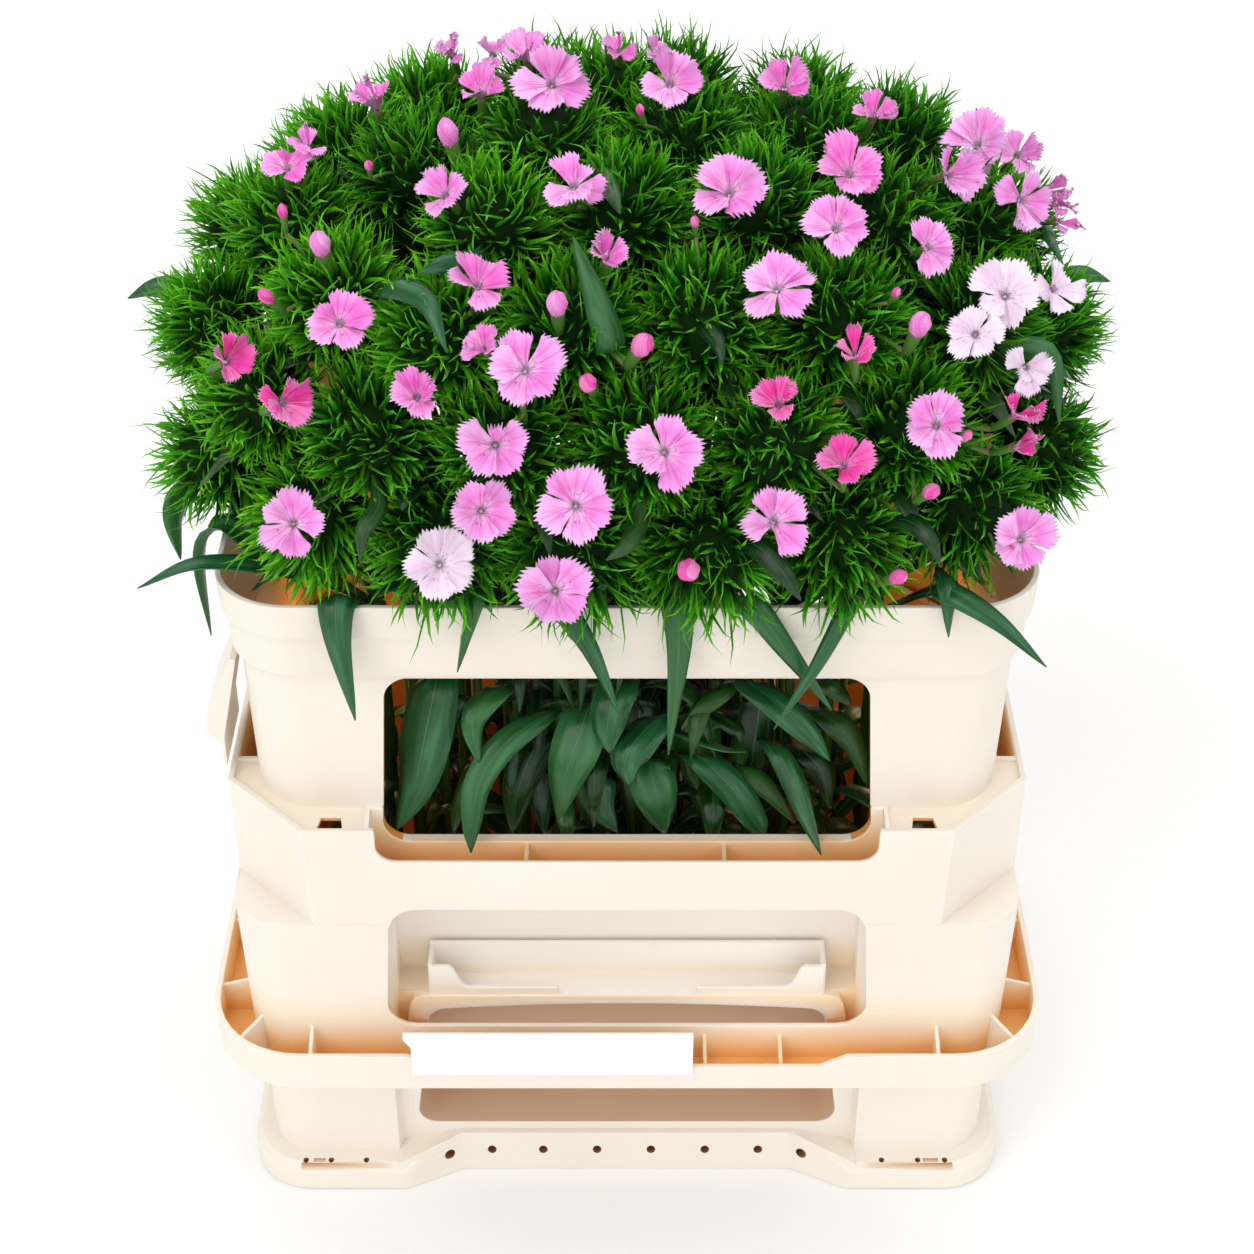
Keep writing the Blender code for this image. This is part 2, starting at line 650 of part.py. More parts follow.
# leaves that reach past the rim: the points that each passes (mm), its
# width and the direction across it; it grows on the nearest stalk, or on
# the nearest head where it starts among the heads
LEAVES = [
    ([(-186, 24, 402), (-196, 19, 419), (-211, 18, 423), (-226, 20, 417)], 13, (0, 1, 0.25)),
    ([(-140, -84, 338), (-160, -101, 352.5), (-185, -108, 357), (-208, -113, 350)], 14, (-0.3, 1, 0)),
    ([(-184, -46, 368), (-196, -52, 360), (-200, -60, 350), (-198, -68, 334)], 12, (0.7, 0.7, 0)),
    ([(-160, -66, 338), (-178, -70, 352), (-187, -76, 340), (-186, -80, 301)], 14, (0.5, 1, 0)),
    ([(-118, -104, 338), (-122, -124, 352.5), (-122, -133, 336), (-117, -135, 296)], 17, (1, 0, 0)),
    ([(-30, -106, 338), (-30, -124, 352.5), (-16, -134, 334), (-3, -136, 299)], 12, (1, 0, 0)),
    ([(22, -106, 338), (21, -124, 352.5), (22, -133, 330), (18, -135, 277)], 15, (1, 0, 0)),
    ([(44, -106, 338), (50, -124, 352.5), (68, -132, 330), (88, -133, 300)], 13, (1, 0, 0)),
    ([(98, -106, 338), (95, -124, 352.5), (80, -139, 328), (63, -141, 296)], 8.5, (1, 0, 0)),
    ([(128, -102, 342), (136, -123, 356), (156, -133, 347), (177, -138, 327)], 12, (0.7, 0.6, 0.3)),
    ([(192, 34, 402), (203, 46, 411), (214, 53, 412), (226, 57, 406)], 10, (-0.5, 1, 0.2)),
    ([(34, 104, 338), (36, 123, 354), (42, 136, 336), (52, 139, 298)], 14, (1, 0, 0)),
    ([(-76, 104, 338), (-74, 124, 352.5), (-68, 136, 338), (-62, 139, 304)], 14, (1, 0, 0)),
]


def curve_through(points, count):
    """Smooth curve through points, as count points an even step apart."""
    pts = [Vector(p) for p in points]
    pts = [pts[0] * 2 - pts[1]] + pts + [pts[-1] * 2 - pts[-2]]
    out = []
    spans = len(pts) - 3
    for i in range(count):
        u = i / (count - 1) * spans
        k = min(int(u), spans - 1)
        t = u - k
        a, b, c, d = pts[k:k + 4]
        out.append(0.5 * ((2 * b) + (c - a) * t + (2 * a - 5 * b + 4 * c - d) * t ** 2
                          + (3 * b - a - 3 * c + d) * t ** 3))
    return out


def flower_places(centres):
    """Each flower's host head, direction and reach, clear of other heads."""
    spots = [(seen_on_dome(px, py, 30.0, DOME_Z0 - 8.0), half / 2.15)
             for px, py, half in FLOWERS]
    spots += [(plan_on_dome(x, y, 30.0, DOME_Z0 - 8.0), PETAL_R)
              for x, y in FLOWERS_BACK]
    placed = []
    for spot, petal in spots:
        order = sorted(range(len(centres)), key=lambda i: (centres[i] - spot).length)
        host = order[0]
        ray = (spot - centres[host]).normalized()
        direction = (ray * 0.55 + dome_normal(spot, 30.0) * 0.45).normalized()
        placed.append((host, direction, spot, petal))
    return placed


def make_plant(mat):
    centres = head_places()
    flowers = flower_places(centres)
    stems = [make_stem("stem_%02d" % (i + 1), c, mat) for i, c in enumerate(centres)]
    solids = []
    for host, direction, _, petal in flowers:
        for reach, shrink in ((HEAD_R + 8.0, 1.0), (HEAD_R + 8.0, 0.8),
                              (HEAD_R + 9.0, 0.62), (HEAD_R + 9.0, 0.45)):
            r1 = min(petal, PETAL_R) * shrink
            tip = centres[host] + direction * (reach - 1.5)
            ok = all((tip - c).length > HEAD_R + r1 + 1.0 or _disc_clear(tip, direction, r1, c)
                     for k, c in enumerate(centres) if k != host)
            ok = ok and all(k == host or (tip - other).length > r1 + r2 + 2.0
                            for k, other, r2 in solids)
            ok = ok and all(k != host or (tip - other).length > r1 + r2 + 1.0
                            for k, other, r2 in solids)
            if ok:
                solids.append((host, tip, r1))
                verts, faces = flower_solid(centres[host], direction, HEAD_R - 9.0,
                                            reach, 3.0, r1)
                boolean(stems[host], group("flower", [(verts, faces)]), "UNION")
                break
    for path, width, across in LEAVES:
        foot = Vector(path[0])
        if foot.z > 360.0:
            host = min(range(len(centres)), key=lambda i: (centres[i] - foot).length)
            start = []
        else:
            host = min(range(len(centres)), key=lambda i: (
                stalk_point(centres[i], 0.9).xy - foot.xy).length)
            start = [tuple(stalk_point(centres[host], 0.74))]
        points = curve_through(start + path, 9)
        leaf = blade("leaf", points, width, 2.0, Vector(across).normalized())
        boolean(stems[host], leaf, "UNION")
    return stems


def _disc_clear(tip, direction, radius, centre):
    """True if a disc at tip keeps clear of the head at centre."""
    offset = centre - tip
    along = offset.dot(direction)
    flat = offset - direction * along
    gap = max(flat.length - radius, 0.0)
    return math.hypot(gap, max(abs(along) - 1.5, 0.0)) > HEAD_R + 0.8


def main():
    clear_scene()
    cream = material("cream_plastic", (0.86, 0.79, 0.68), 0.42)
    green = material("leaf_green", (0.07, 0.26, 0.02), 0.55)
    white = material("label_white", (0.92, 0.92, 0.90), 0.6)
    make_bucket(cream)
    make_collar(cream)
    make_label(white)
    make_side_clip(cream)
    make_plant(green)


main()
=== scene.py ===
"""Looks of the dianthus plant and its cream container.

Metres in the finished objects; the helper functions below work in mm.
"""
import math

import bmesh
import bpy
import numpy as np
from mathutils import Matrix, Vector


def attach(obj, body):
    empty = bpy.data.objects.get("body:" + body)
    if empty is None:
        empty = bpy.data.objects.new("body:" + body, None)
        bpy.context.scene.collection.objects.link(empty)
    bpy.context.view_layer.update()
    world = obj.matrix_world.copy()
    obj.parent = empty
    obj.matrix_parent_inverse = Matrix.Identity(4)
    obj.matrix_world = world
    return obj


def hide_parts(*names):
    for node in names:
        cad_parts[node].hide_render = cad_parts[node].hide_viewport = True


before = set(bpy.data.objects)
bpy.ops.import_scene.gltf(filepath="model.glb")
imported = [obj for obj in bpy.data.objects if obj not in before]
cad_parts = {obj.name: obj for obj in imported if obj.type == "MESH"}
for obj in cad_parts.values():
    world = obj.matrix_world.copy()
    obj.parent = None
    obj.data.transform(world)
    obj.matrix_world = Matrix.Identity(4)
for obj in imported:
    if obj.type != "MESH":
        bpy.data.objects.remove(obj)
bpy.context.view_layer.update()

MM = 0.001

# -------------------------------------------------------------------- camera
PITCH = math.radians(36.0)
FOCAL, MIDDLE = 2450.0, 627.0                 # in the 1254 px frame
EYE = np.array((0.0, -964.8, 948.6))
cam_data = bpy.data.cameras.new("camera")
cam_data.sensor_width = 36.0
cam_data.lens = FOCAL * 36.0 / 1254.0
cam_data.clip_start, cam_data.clip_end = 0.01, 60.0
camera = bpy.data.objects.new("camera", cam_data)
bpy.context.scene.collection.objects.link(camera)
camera.location = tuple(EYE * MM)
camera.rotation_euler = (math.pi / 2 - PITCH, 0.0, 0.0)
bpy.context.scene.camera = camera
bpy.context.scene.view_settings.view_transform = "Standard"


# ------------------------------------------------------------- node helpers
class Nodes:
    """Small builder for a material's node tree."""

    def __init__(self, name):
        self.mat = bpy.data.materials.new(name)
        self.mat.use_nodes = True
        self.tree = self.mat.node_tree
        self.shader = self.tree.nodes["Principled BSDF"]

    def node(self, kind, **values):
        made = self.tree.nodes.new(kind)
        for key, value in values.items():
            setattr(made, key, value)
        return made

    def link(self, a, b):
        self.tree.links.new(a, b)

    def put(self, socket, value):
        if isinstance(value, bpy.types.NodeSocket):
            self.link(value, socket)
        else:
            socket.default_value = value

    def math(self, op, a, b=0.0, c=None, clamp=False):
        n = self.node("ShaderNodeMath", operation=op, use_clamp=clamp)
        self.put(n.inputs[0], a)
        self.put(n.inputs[1], b)
        if c is not None:
            self.put(n.inputs[2], c)
        return n.outputs[0]

    def ramp(self, factor, stops, mode="LINEAR"):
        n = self.node("ShaderNodeValToRGB")
        n.color_ramp.interpolation = mode
        band = n.color_ramp.elements
        while len(band) < len(stops):
            band.new(0.5)
        for element, (at, colour) in zip(band, stops):
            element.position = at
            element.color = (*colour, 1.0) if len(colour) == 3 else colour
        self.put(n.inputs[0], factor)
        return n.outputs[0]

    def mix(self, factor, a, b, mode="MIX"):
        n = self.node("ShaderNodeMix", data_type="RGBA", blend_type=mode)
        self.put(n.inputs[0], factor)
        for socket, value in ((n.inputs[6], a), (n.inputs[7], b)):
            if isinstance(value, tuple):
                value = (*value, 1.0)
            self.put(socket, value)
        return n.outputs[2]

    def range(self, value, a, b, c, d, smooth=False):
        n = self.node("ShaderNodeMapRange")
        if smooth:
            n.interpolation_type = "SMOOTHSTEP"
        self.put(n.inputs[0], value)
        for k, v in enumerate((a, b, c, d)):
            n.inputs[k + 1].default_value = v
        return n.outputs[0]

    def attribute(self, name):
        return self.node("ShaderNodeAttribute", attribute_name=name)

    def place(self):
        """Position on the object, in metres."""
        return self.node("ShaderNodeTexCoord").outputs["Object"]

    def noise(self, scale, detail=3.0, rough=0.5, vector=None, stretch=None):
        if vector is None:
            vector = self.place()
        if stretch is not None:
            m = self.node("ShaderNodeMapping")
            self.link(vector, m.inputs[0])
            m.inputs["Scale"].default_value = stretch
            vector = m.outputs[0]
        n = self.node("ShaderNodeTexNoise")
        self.link(vector, n.inputs["Vector"])
        n.inputs["Scale"].default_value = scale
        n.inputs["Detail"].default_value = detail
        n.inputs["Roughness"].default_value = rough
        return n.outputs["Fac"]

    def bump(self, height, strength, distance, normal=None):
        n = self.node("ShaderNodeBump")
        n.inputs["Strength"].default_value = strength
        n.inputs["Distance"].default_value = distance
        self.put(n.inputs["Height"], height)
        if normal is not None:
            self.link(normal, n.inputs["Normal"])
        self.link(n.outputs[0], self.shader.inputs["Normal"])
        return n.outputs[0]

    def set(self, **values):
        names = {"colour": "Base Color", "rough": "Roughness", "ior": "IOR",
                 "sheen": "Sheen Weight", "coat": "Coat Weight",
                 "coat_rough": "Coat Roughness", "sub": "Subsurface Weight",
                 "sub_scale": "Subsurface Scale", "specular": "Specular IOR Level",
                 "sheen_rough": "Sheen Roughness", "transmission": "Transmission Weight"}
        for key, value in values.items():
            socket = self.shader.inputs[names[key]]
            if isinstance(value, tuple):
                value = (*value, 1.0)
            self.put(socket, value)


# ----------------------------------------------------------------- materials
def cream_plastic(name, lift):
    """Moulded polypropylene: cream outside, with painted light and shade: an orange glow where it is deep,
    brown shade in pockets and holes, a paler cream over shaded recesses; lift makes a lighter copy for edge
    strips, a painted highlight.
    """
    m = Nodes(name)
    # this attribute paints light: an orange glow where light comes through the thin walls and bounces in
    # deep hollows
    painted_glow = m.attribute("painted_glow").outputs["Fac"]
    painted_shade = m.attribute("painted_shade").outputs["Fac"]
    mottle = m.noise(9.0, 4.0, 0.6)
    fine = m.noise(240.0, 2.0, 0.5)
    base = m.ramp(mottle, [(0.30, (0.875, 0.800, 0.700)), (0.70, (0.905, 0.840, 0.750))])
    base = m.mix(m.range(fine, 0.35, 0.65, 0.0, 0.05), base, (0.80, 0.70, 0.57))
    soft = m.math("ADD", painted_glow, m.math("MULTIPLY", m.math("SUBTRACT", mottle, 0.5), 0.06))
    glow = m.ramp(soft, [(0.0, (0.92, 0.86, 0.77)), (0.14, (0.97, 0.84, 0.67)),
                         (0.34, (0.99, 0.72, 0.42)), (0.56, (0.98, 0.58, 0.22)),
                         (0.78, (0.92, 0.42, 0.10)), (1.0, (0.70, 0.26, 0.05))])
    # painted light: a paler cream where the recesses lie in shade
    pale = m.attribute("pale").outputs["Fac"]
    base = m.mix(pale, base, (1.0, 0.955, 0.885))
    colour = m.mix(m.range(painted_glow, 0.0, 0.10, 0.0, 1.0, True), base, glow)
    # painted shade: brown for the grip pocket, the holes and the slots, darker where less light reaches
    shade = m.ramp(painted_shade, [(0.0, (0.84, 0.71, 0.57)), (0.35, (0.76, 0.54, 0.37)),
                           (0.7, (0.56, 0.34, 0.20)), (1.0, (0.33, 0.15, 0.065))])
    colour = m.mix(m.range(painted_shade, 0.0, 0.2, 0.0, 1.0, True), colour, shade)
    # painted highlight: lift mixes in a lighter cream, for the copy on the rounded edges
    if lift:
        colour = m.mix(lift, colour, (0.985, 0.945, 0.88))
    m.set(colour=colour, specular=0.42, sub=0.0)
    scuff = m.noise(34.0, 5.0, 0.62)
    m.set(rough=m.range(scuff, 0.3, 0.7, 0.36, 0.50))
    relief = m.math("ADD", m.math("MULTIPLY", m.noise(620.0, 2.0, 0.5), 0.25),
                    m.math("MULTIPLY", m.noise(26.0, 2.0, 0.5), 0.9))
    m.bump(relief, 0.10, 0.0012)
    return m.mat


def label_paper():
    m = Nodes("label_paper")
    grain = m.noise(900.0, 3.0, 0.6)
    tone = m.noise(16.0, 3.0, 0.5)
    colour = m.ramp(tone, [(0.35, (0.93, 0.93, 0.92)), (0.65, (0.97, 0.97, 0.965))])
    colour = m.mix(m.range(grain, 0.4, 0.6, 0.0, 0.06), colour, (0.86, 0.86, 0.86))
    m.set(colour=colour, specular=0.3)
    m.set(rough=m.range(grain, 0.3, 0.7, 0.55, 0.72))
    m.bump(grain, 0.12, 0.0004)
    return m.mat


TUFT_COLS = 12


def tuft_green(name, dark, mid, bright, tip):
    """Narrow bracts.  On the map, v runs along a bract from 0 at its foot;
    u holds twelve columns, each running from the keel (0) to the edge (1)."""
    m = Nodes(name)
    uv = m.node("ShaderNodeUVMap", uv_map="along").outputs[0]
    xyz = m.node("ShaderNodeSeparateXYZ")
    m.link(uv, xyz.inputs[0])
    u, v = xyz.outputs[0], xyz.outputs[1]
    wide = m.math("MULTIPLY", u, float(TUFT_COLS))
    column = m.math("FLOOR", wide)
    across = m.math("FRACT", wide)
    pick = m.node("ShaderNodeTexWhiteNoise", noise_dimensions="1D")
    m.link(column, pick.inputs["W"])
    vary = pick.outputs["Value"]
    body = m.ramp(v, [(0.0, dark), (0.46, tuple(1.3 * c for c in dark)), (0.74, mid),
                      (0.93, bright), (1.0, tip)])
    rim = m.ramp(v, [(0.0, dark), (0.44, dark), (0.64, mid), (0.80, bright), (0.96, tip)])
    colour = m.mix(m.range(across, 0.45, 0.90, 0.0, 0.85, True), body, rim)
    vein = m.noise(60.0, 2.0, 0.5, uv, (TUFT_COLS * 1.4, 0.5, 1.0))
    colour = m.mix(m.range(vein, 0.42, 0.62, 0.0, 0.30), colour, dark)
    yellow = m.mix(0.30, colour, (0.22, 0.48, 0.02))
    colour = m.mix(m.range(vary, 0.66, 1.0, 0.0, 0.9), colour, yellow)
    darker = m.mix(0.55, colour, dark)
    colour = m.mix(m.range(vary, 0.0, 0.34, 0.85, 0.0), colour, darker)
    m.set(colour=colour, specular=0.14)
    m.set(rough=m.range(vein, 0.3, 0.7, 0.42, 0.56))
    return m.mat


LEAF_COLS = 4


def leaf_green(name, dark, mid, light, gloss):
    """Long satin leaves: u holds four columns across, v runs to the tip."""
    m = Nodes(name)
    uv = m.node("ShaderNodeUVMap", uv_map="along").outputs[0]
    xyz = m.node("ShaderNodeSeparateXYZ")
    m.link(uv, xyz.inputs[0])
    u, v = xyz.outputs[0], xyz.outputs[1]
    wide = m.math("MULTIPLY", u, float(LEAF_COLS))
    column = m.math("FLOOR", wide)
    off = m.math("ABSOLUTE", m.math("SUBTRACT", m.math("FRACT", wide), 0.5))
    pick = m.node("ShaderNodeTexWhiteNoise", noise_dimensions="1D")
    m.link(column, pick.inputs["W"])
    vary = pick.outputs["Value"]
    veins = m.noise(9.0, 2.0, 0.5, uv, (LEAF_COLS * 5.0, 0.20, 1.0))
    cloud = m.noise(2.6, 1.5, 0.45, uv, (LEAF_COLS * 1.3, 1.1, 1.0))
    # the cloud and the lighter streaks along the leaf are partly its own veins and tone, partly a painted
    # sheen
    colour = m.ramp(cloud, [(0.30, dark), (0.52, mid), (0.74, light)])
    colour = m.mix(m.range(veins, 0.50, 0.70, 0.0, 0.30), colour, light)
    colour = m.mix(m.range(veins, 0.30, 0.46, 0.28, 0.0), colour, dark)
    rib = m.range(off, 0.004, 0.020, 1.0, 0.0, True)
    rib = m.math("MULTIPLY", rib, m.range(v, 0.0, 1.0, 0.60, 0.20))
    colour = m.mix(rib, colour, (0.13, 0.29, 0.13))
    beside = m.math("MULTIPLY", m.range(off, 0.02, 0.05, 1.0, 0.0, True),
                    m.range(off, 0.008, 0.02, 0.0, 0.5, True))
    colour = m.mix(beside, colour, dark)
    rim = m.range(off, 0.42, 0.46, 0.0, 0.22, True)
    colour = m.mix(rim, colour, (0.10, 0.24, 0.10))
    fresh = m.mix(0.5, colour, (0.06, 0.20, 0.025))
    colour = m.mix(m.range(vary, 0.5, 1.0, 0.0, 0.7), colour, fresh)
    m.set(colour=colour, specular=0.38)
    m.set(rough=m.range(cloud, 0.3, 0.7, gloss, gloss + 0.10))
    relief = m.math("SUBTRACT", veins, m.math("MULTIPLY", rib, 1.6))
    m.bump(relief, 0.14, 0.0005)
    return m.mat


def petal_pink(name, throat, inner, mid, outer, streak, dash):
    """Fringed petals.  u holds five petals side by side, v runs outward."""
    m = Nodes(name)
    uv = m.node("ShaderNodeUVMap", uv_map="along").outputs[0]
    xyz = m.node("ShaderNodeSeparateXYZ")
    m.link(uv, xyz.inputs[0])
    u, v = xyz.outputs[0], xyz.outputs[1]
    wide = m.math("MULTIPLY", u, 5.0)
    s = m.math("SUBTRACT", m.math("FRACT", wide), 0.5)         # -0.5 to 0.5
    off = m.math("ABSOLUTE", s)
    colour = m.ramp(v, [(0.0, throat), (0.07, throat), (0.22, inner), (0.48, mid),
                        (0.88, outer), (1.0, outer)])
    # each petal takes the colour a little differently
    pick = m.node("ShaderNodeTexWhiteNoise", noise_dimensions="1D")
    m.link(m.math("FLOOR", wide), pick.inputs["W"])
    vary = pick.outputs["Value"]
    colour = m.mix(m.range(vary, 0.0, 0.5, 0.45, 0.0), colour, mid)
    colour = m.mix(m.range(vary, 0.5, 1.0, 0.0, 0.42), colour, (0.97, 0.72, 0.95))
    # rays that fan out from the throat, finer ones over broader ones
    fan = m.node("ShaderNodeCombineXYZ")
    m.link(m.math("MULTIPLY", wide, 7.0), fan.inputs[0])
    m.link(m.math("MULTIPLY", v, 0.7), fan.inputs[1])
    broad = m.noise(1.0, 2.0, 0.5, fan.outputs[0])
    fan2 = m.node("ShaderNodeCombineXYZ")
    m.link(m.math("MULTIPLY", wide, 34.0), fan2.inputs[0])
    m.link(m.math("MULTIPLY", v, 2.0), fan2.inputs[1])
    fine = m.noise(1.0, 2.0, 0.5, fan2.outputs[0])
    colour = m.mix(m.math("MULTIPLY", m.range(broad, 0.48, 0.66, 0.0, 0.80, True),
                          m.range(v, 0.25, 0.95, 1.0, 0.25)), colour, streak)
    colour = m.mix(m.range(broad, 0.28, 0.44, 0.45, 0.0, True), colour, inner)
    colour = m.mix(m.range(fine, 0.52, 0.72, 0.0, 0.16), colour, streak)
    # painted shade: a darker line down the middle of every petal, where a fold is deep on some of them
    fold = m.range(off, 0.0, 0.055, 1.0, 0.0, True)
    fold = m.math("MULTIPLY", fold, m.range(v, 0.10, 0.5, 0.75, 0.28, True))
    colour = m.mix(fold, colour, streak)
    # small dark dashes at a third of the way out
    dashes = m.node("ShaderNodeCombineXYZ")
    m.link(m.math("MULTIPLY", wide, 15.0), dashes.inputs[0])
    m.link(m.math("MULTIPLY", v, 6.0), dashes.inputs[1])
    spots = m.noise(1.0, 1.0, 0.4, dashes.outputs[0])
    ring = m.math("MULTIPLY", m.range(v, 0.22, 0.29, 0.0, 1.0, True),
                  m.range(v, 0.42, 0.52, 1.0, 0.0, True))
    spots = m.math("MULTIPLY", m.range(spots, 0.60, 0.66, 0.0, 1.0, True), ring)
    colour = m.mix(m.math("MULTIPLY", spots, 0.55), colour, dash)
    # the paler line between the throat's dark veins
    vein = m.math("MULTIPLY", m.range(fine, 0.44, 0.56, 0.0, 1.0, True),
                  m.range(v, 0.04, 0.22, 0.7, 0.0, True))
    colour = m.mix(m.math("MULTIPLY", vein, 0.7), colour, (0.36, 0.20, 0.32))
    colour = m.mix(m.range(v, 0.955, 1.0, 0.0, 0.5), colour, (1.0, 0.86, 0.96))
    m.set(colour=colour, specular=0.12, sheen=0.05)
    m.set(rough=m.range(fine, 0.3, 0.7, 0.60, 0.72))
    m.bump(m.math("ADD", fine, m.math("MULTIPLY", broad, 1.6)), 0.45, 0.0006)
    return m.mat


def plain_plant(name, stops, scale, rough, specular=0.4):
    """Stalks, calyces, stamens: a mottled run of colours along v."""
    m = Nodes(name)
    uv = m.node("ShaderNodeUVMap", uv_map="along").outputs[0]
    xyz = m.node("ShaderNodeSeparateXYZ")
    m.link(uv, xyz.inputs[0])
    colour = m.ramp(xyz.outputs[1], stops)
    lines = m.noise(scale, 3.0, 0.55, uv, (6.0, 0.6, 1.0))
    shade = m.mix(0.5, colour, (0.01, 0.03, 0.005))
    colour = m.mix(m.range(lines, 0.40, 0.62, 0.0, 0.5), colour, shade)
    m.set(colour=colour, specular=specular)
    m.set(rough=m.range(lines, 0.3, 0.7, rough, rough + 0.14))
    m.bump(lines, 0.25, 0.0005)
    return m.mat


CREAM = cream_plastic("cream_plastic_face", 0.0)
# a lighter copy for the rounded edge strips: a painted highlight
CREAM_EDGE_HIGHLIGHT = cream_plastic("cream_plastic_edge_highlight", 0.28)
PAPER = label_paper()
TUFT = tuft_green("bract_green", (0.001, 0.016, 0.0004), (0.011, 0.140, 0.001),
                  (0.045, 0.380, 0.003), (0.22, 0.66, 0.03))
# a lighter, yellower copy of the bract green for heads where the light falls: painted light
TUFT_LIT_COPY = tuft_green("bract_lit_copy", (0.003, 0.034, 0.0008), (0.044, 0.300, 0.003),
                        (0.090, 0.520, 0.006), (0.32, 0.80, 0.05))
# near black: painted shade deep inside each head
HEAD_SHADE = plain_plant("head_shade_ball", [(0.0, (0.002, 0.010, 0.001)), (1.0, (0.004, 0.024, 0.002))],
                   14.0, 0.75, 0.1)
LEAF = leaf_green("leaf_satin", (0.004, 0.052, 0.015), (0.014, 0.108, 0.034),
                  (0.052, 0.200, 0.086), 0.20)
# a darker copy of the leaf green for leaves in shade: painted shade
LEAF_SHADED = leaf_green("leaf_shaded", (0.001, 0.012, 0.002), (0.003, 0.032, 0.006),
                     (0.012, 0.074, 0.018), 0.22)
STALK = plain_plant("stalk_green", [(0.0, (0.10, 0.16, 0.05)), (0.5, (0.035, 0.12, 0.02)),
                                    (1.0, (0.03, 0.13, 0.012))], 9.0, 0.45)
CALYX = plain_plant("calyx_green", [(0.0, (0.05, 0.17, 0.015)), (0.7, (0.09, 0.24, 0.03)),
                                    (1.0, (0.20, 0.16, 0.06))], 12.0, 0.45)
STAMEN = plain_plant("stamen_lilac", [(0.0, (0.84, 0.76, 0.83)), (0.7, (0.72, 0.58, 0.70)),
                                      (1.0, (0.34, 0.22, 0.36))], 12.0, 0.5)
PINKS = [
    petal_pink("petal_magenta", (0.66, 0.34, 0.52), (0.92, 0.20, 0.58), (0.89, 0.055, 0.40),
               (0.95, 0.15, 0.56), (0.70, 0.015, 0.25), (0.30, 0.005, 0.08)),
    petal_pink("petal_pink", (0.84, 0.70, 0.82), (0.95, 0.44, 0.83), (0.90, 0.185, 0.66),
               (0.95, 0.36, 0.84), (0.72, 0.055, 0.40), (0.42, 0.02, 0.17)),
    petal_pink("petal_light", (0.88, 0.80, 0.88), (0.96, 0.58, 0.92), (0.92, 0.28, 0.76),
               (0.97, 0.48, 0.93), (0.78, 0.11, 0.50), (0.46, 0.03, 0.22)),
    petal_pink("petal_pale", (0.92, 0.88, 0.92), (0.96, 0.86, 0.95), (0.95, 0.78, 0.93),
               (0.97, 0.87, 0.96), (0.86, 0.55, 0.78), (0.62, 0.18, 0.42)),
]


# --------------------------------------------------------------- mesh builder
class Solid:
    """Gathers shapes with a map of their own and makes one mesh of them."""

    def __init__(self):
        self.verts, self.maps, self.faces, self.mats, self.smooth = [], [], [], [], []
        self.count = 0

    def add(self, verts, maps, faces, mat, smooth=True):
        """faces is a list of index arrays, each (n, 3) or (n, 4)."""
        verts = np.asarray(verts, float).reshape(-1, 3)
        for block in faces:
            block = np.asarray(block, int)
            if len(block) == 0:
                continue
            self.faces.append(block + self.count)
            self.mats.append(np.full(len(block), mat))
            self.smooth.append(np.full(len(block), smooth))
        self.verts.append(verts)
        self.maps.append(np.asarray(maps, float).reshape(-1, 2))
        self.count += len(verts)

    def build(self, name, materials, replaces=()):
        verts = np.concatenate(self.verts) * MM
        maps = np.concatenate(self.maps)
        loops = np.concatenate([f.reshape(-1) for f in self.faces])
        totals = np.concatenate([np.full(len(f), f.shape[1]) for f in self.faces])
        starts = np.concatenate(([0], np.cumsum(totals)[:-1]))
        mesh = bpy.data.meshes.new(name)
        mesh.vertices.add(len(verts))
        mesh.vertices.foreach_set("co", verts.astype(np.float32).ravel())
        mesh.loops.add(len(loops))
        mesh.loops.foreach_set("vertex_index", loops.astype(np.int32))
        mesh.polygons.add(len(totals))
        mesh.polygons.foreach_set("loop_start", starts.astype(np.int32))
        mesh.polygons.foreach_set("loop_total", totals.astype(np.int32))
        for m in materials:
            mesh.materials.append(m)
        mesh.polygons.foreach_set("material_index", np.concatenate(self.mats).astype(np.int32))
        mesh.polygons.foreach_set("use_smooth", np.concatenate(self.smooth))
        for layer in ("along", "OFBake"):
            made = mesh.uv_layers.new(name=layer)
            made.data.foreach_set("uv", maps[loops].astype(np.float32).ravel())
        mesh.update(calc_edges=True)
        mesh.validate()
        obj = bpy.data.objects.new(name, mesh)
        bpy.context.scene.collection.objects.link(obj)
        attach(obj, "root")
        if replaces:
            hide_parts(*replaces)
        return obj


def unit(v):
    v = np.asarray(v, float)
    return v / np.maximum(np.linalg.norm(v, axis=-1, keepdims=True), 1e-9)


def grid_faces(rows, cols, base=0, flip=False):
    r, c = np.meshgrid(np.arange(rows - 1), np.arange(cols - 1), indexing="ij")
    a = (r * cols + c).ravel() + base
    quads = np.stack([a, a + 1, a + cols + 1, a + cols], 1)
    return quads[:, ::-1] if flip else quads


def thin_shell(grid, thick):
    """A closed thin solid from a (rows, cols, 3) sheet.  thick may vary by row."""
    rows, cols = grid.shape[:2]
    du = np.gradient(grid, axis=1)
    dv = np.gradient(grid, axis=0)
    normal = unit(np.cross(du, dv))
    half = np.asarray(thick, float) * 0.5
    half = half.reshape(-1, 1, 1) if half.ndim == 1 else half
    top, low = grid + normal * half, grid - normal * half
    n = rows * cols
    ids = np.arange(n).reshape(rows, cols)
    ring = np.concatenate([ids[0, :], ids[1:, -1], ids[-1, -2::-1], ids[-2:0:-1, 0]])
    ahead = np.roll(ring, -1)
    side = np.stack([ring, ring + n, ahead + n, ahead], 1)
    return (np.concatenate([top.reshape(-1, 3), low.reshape(-1, 3)]),
            [grid_faces(rows, cols), grid_faces(rows, cols, n, True), side])


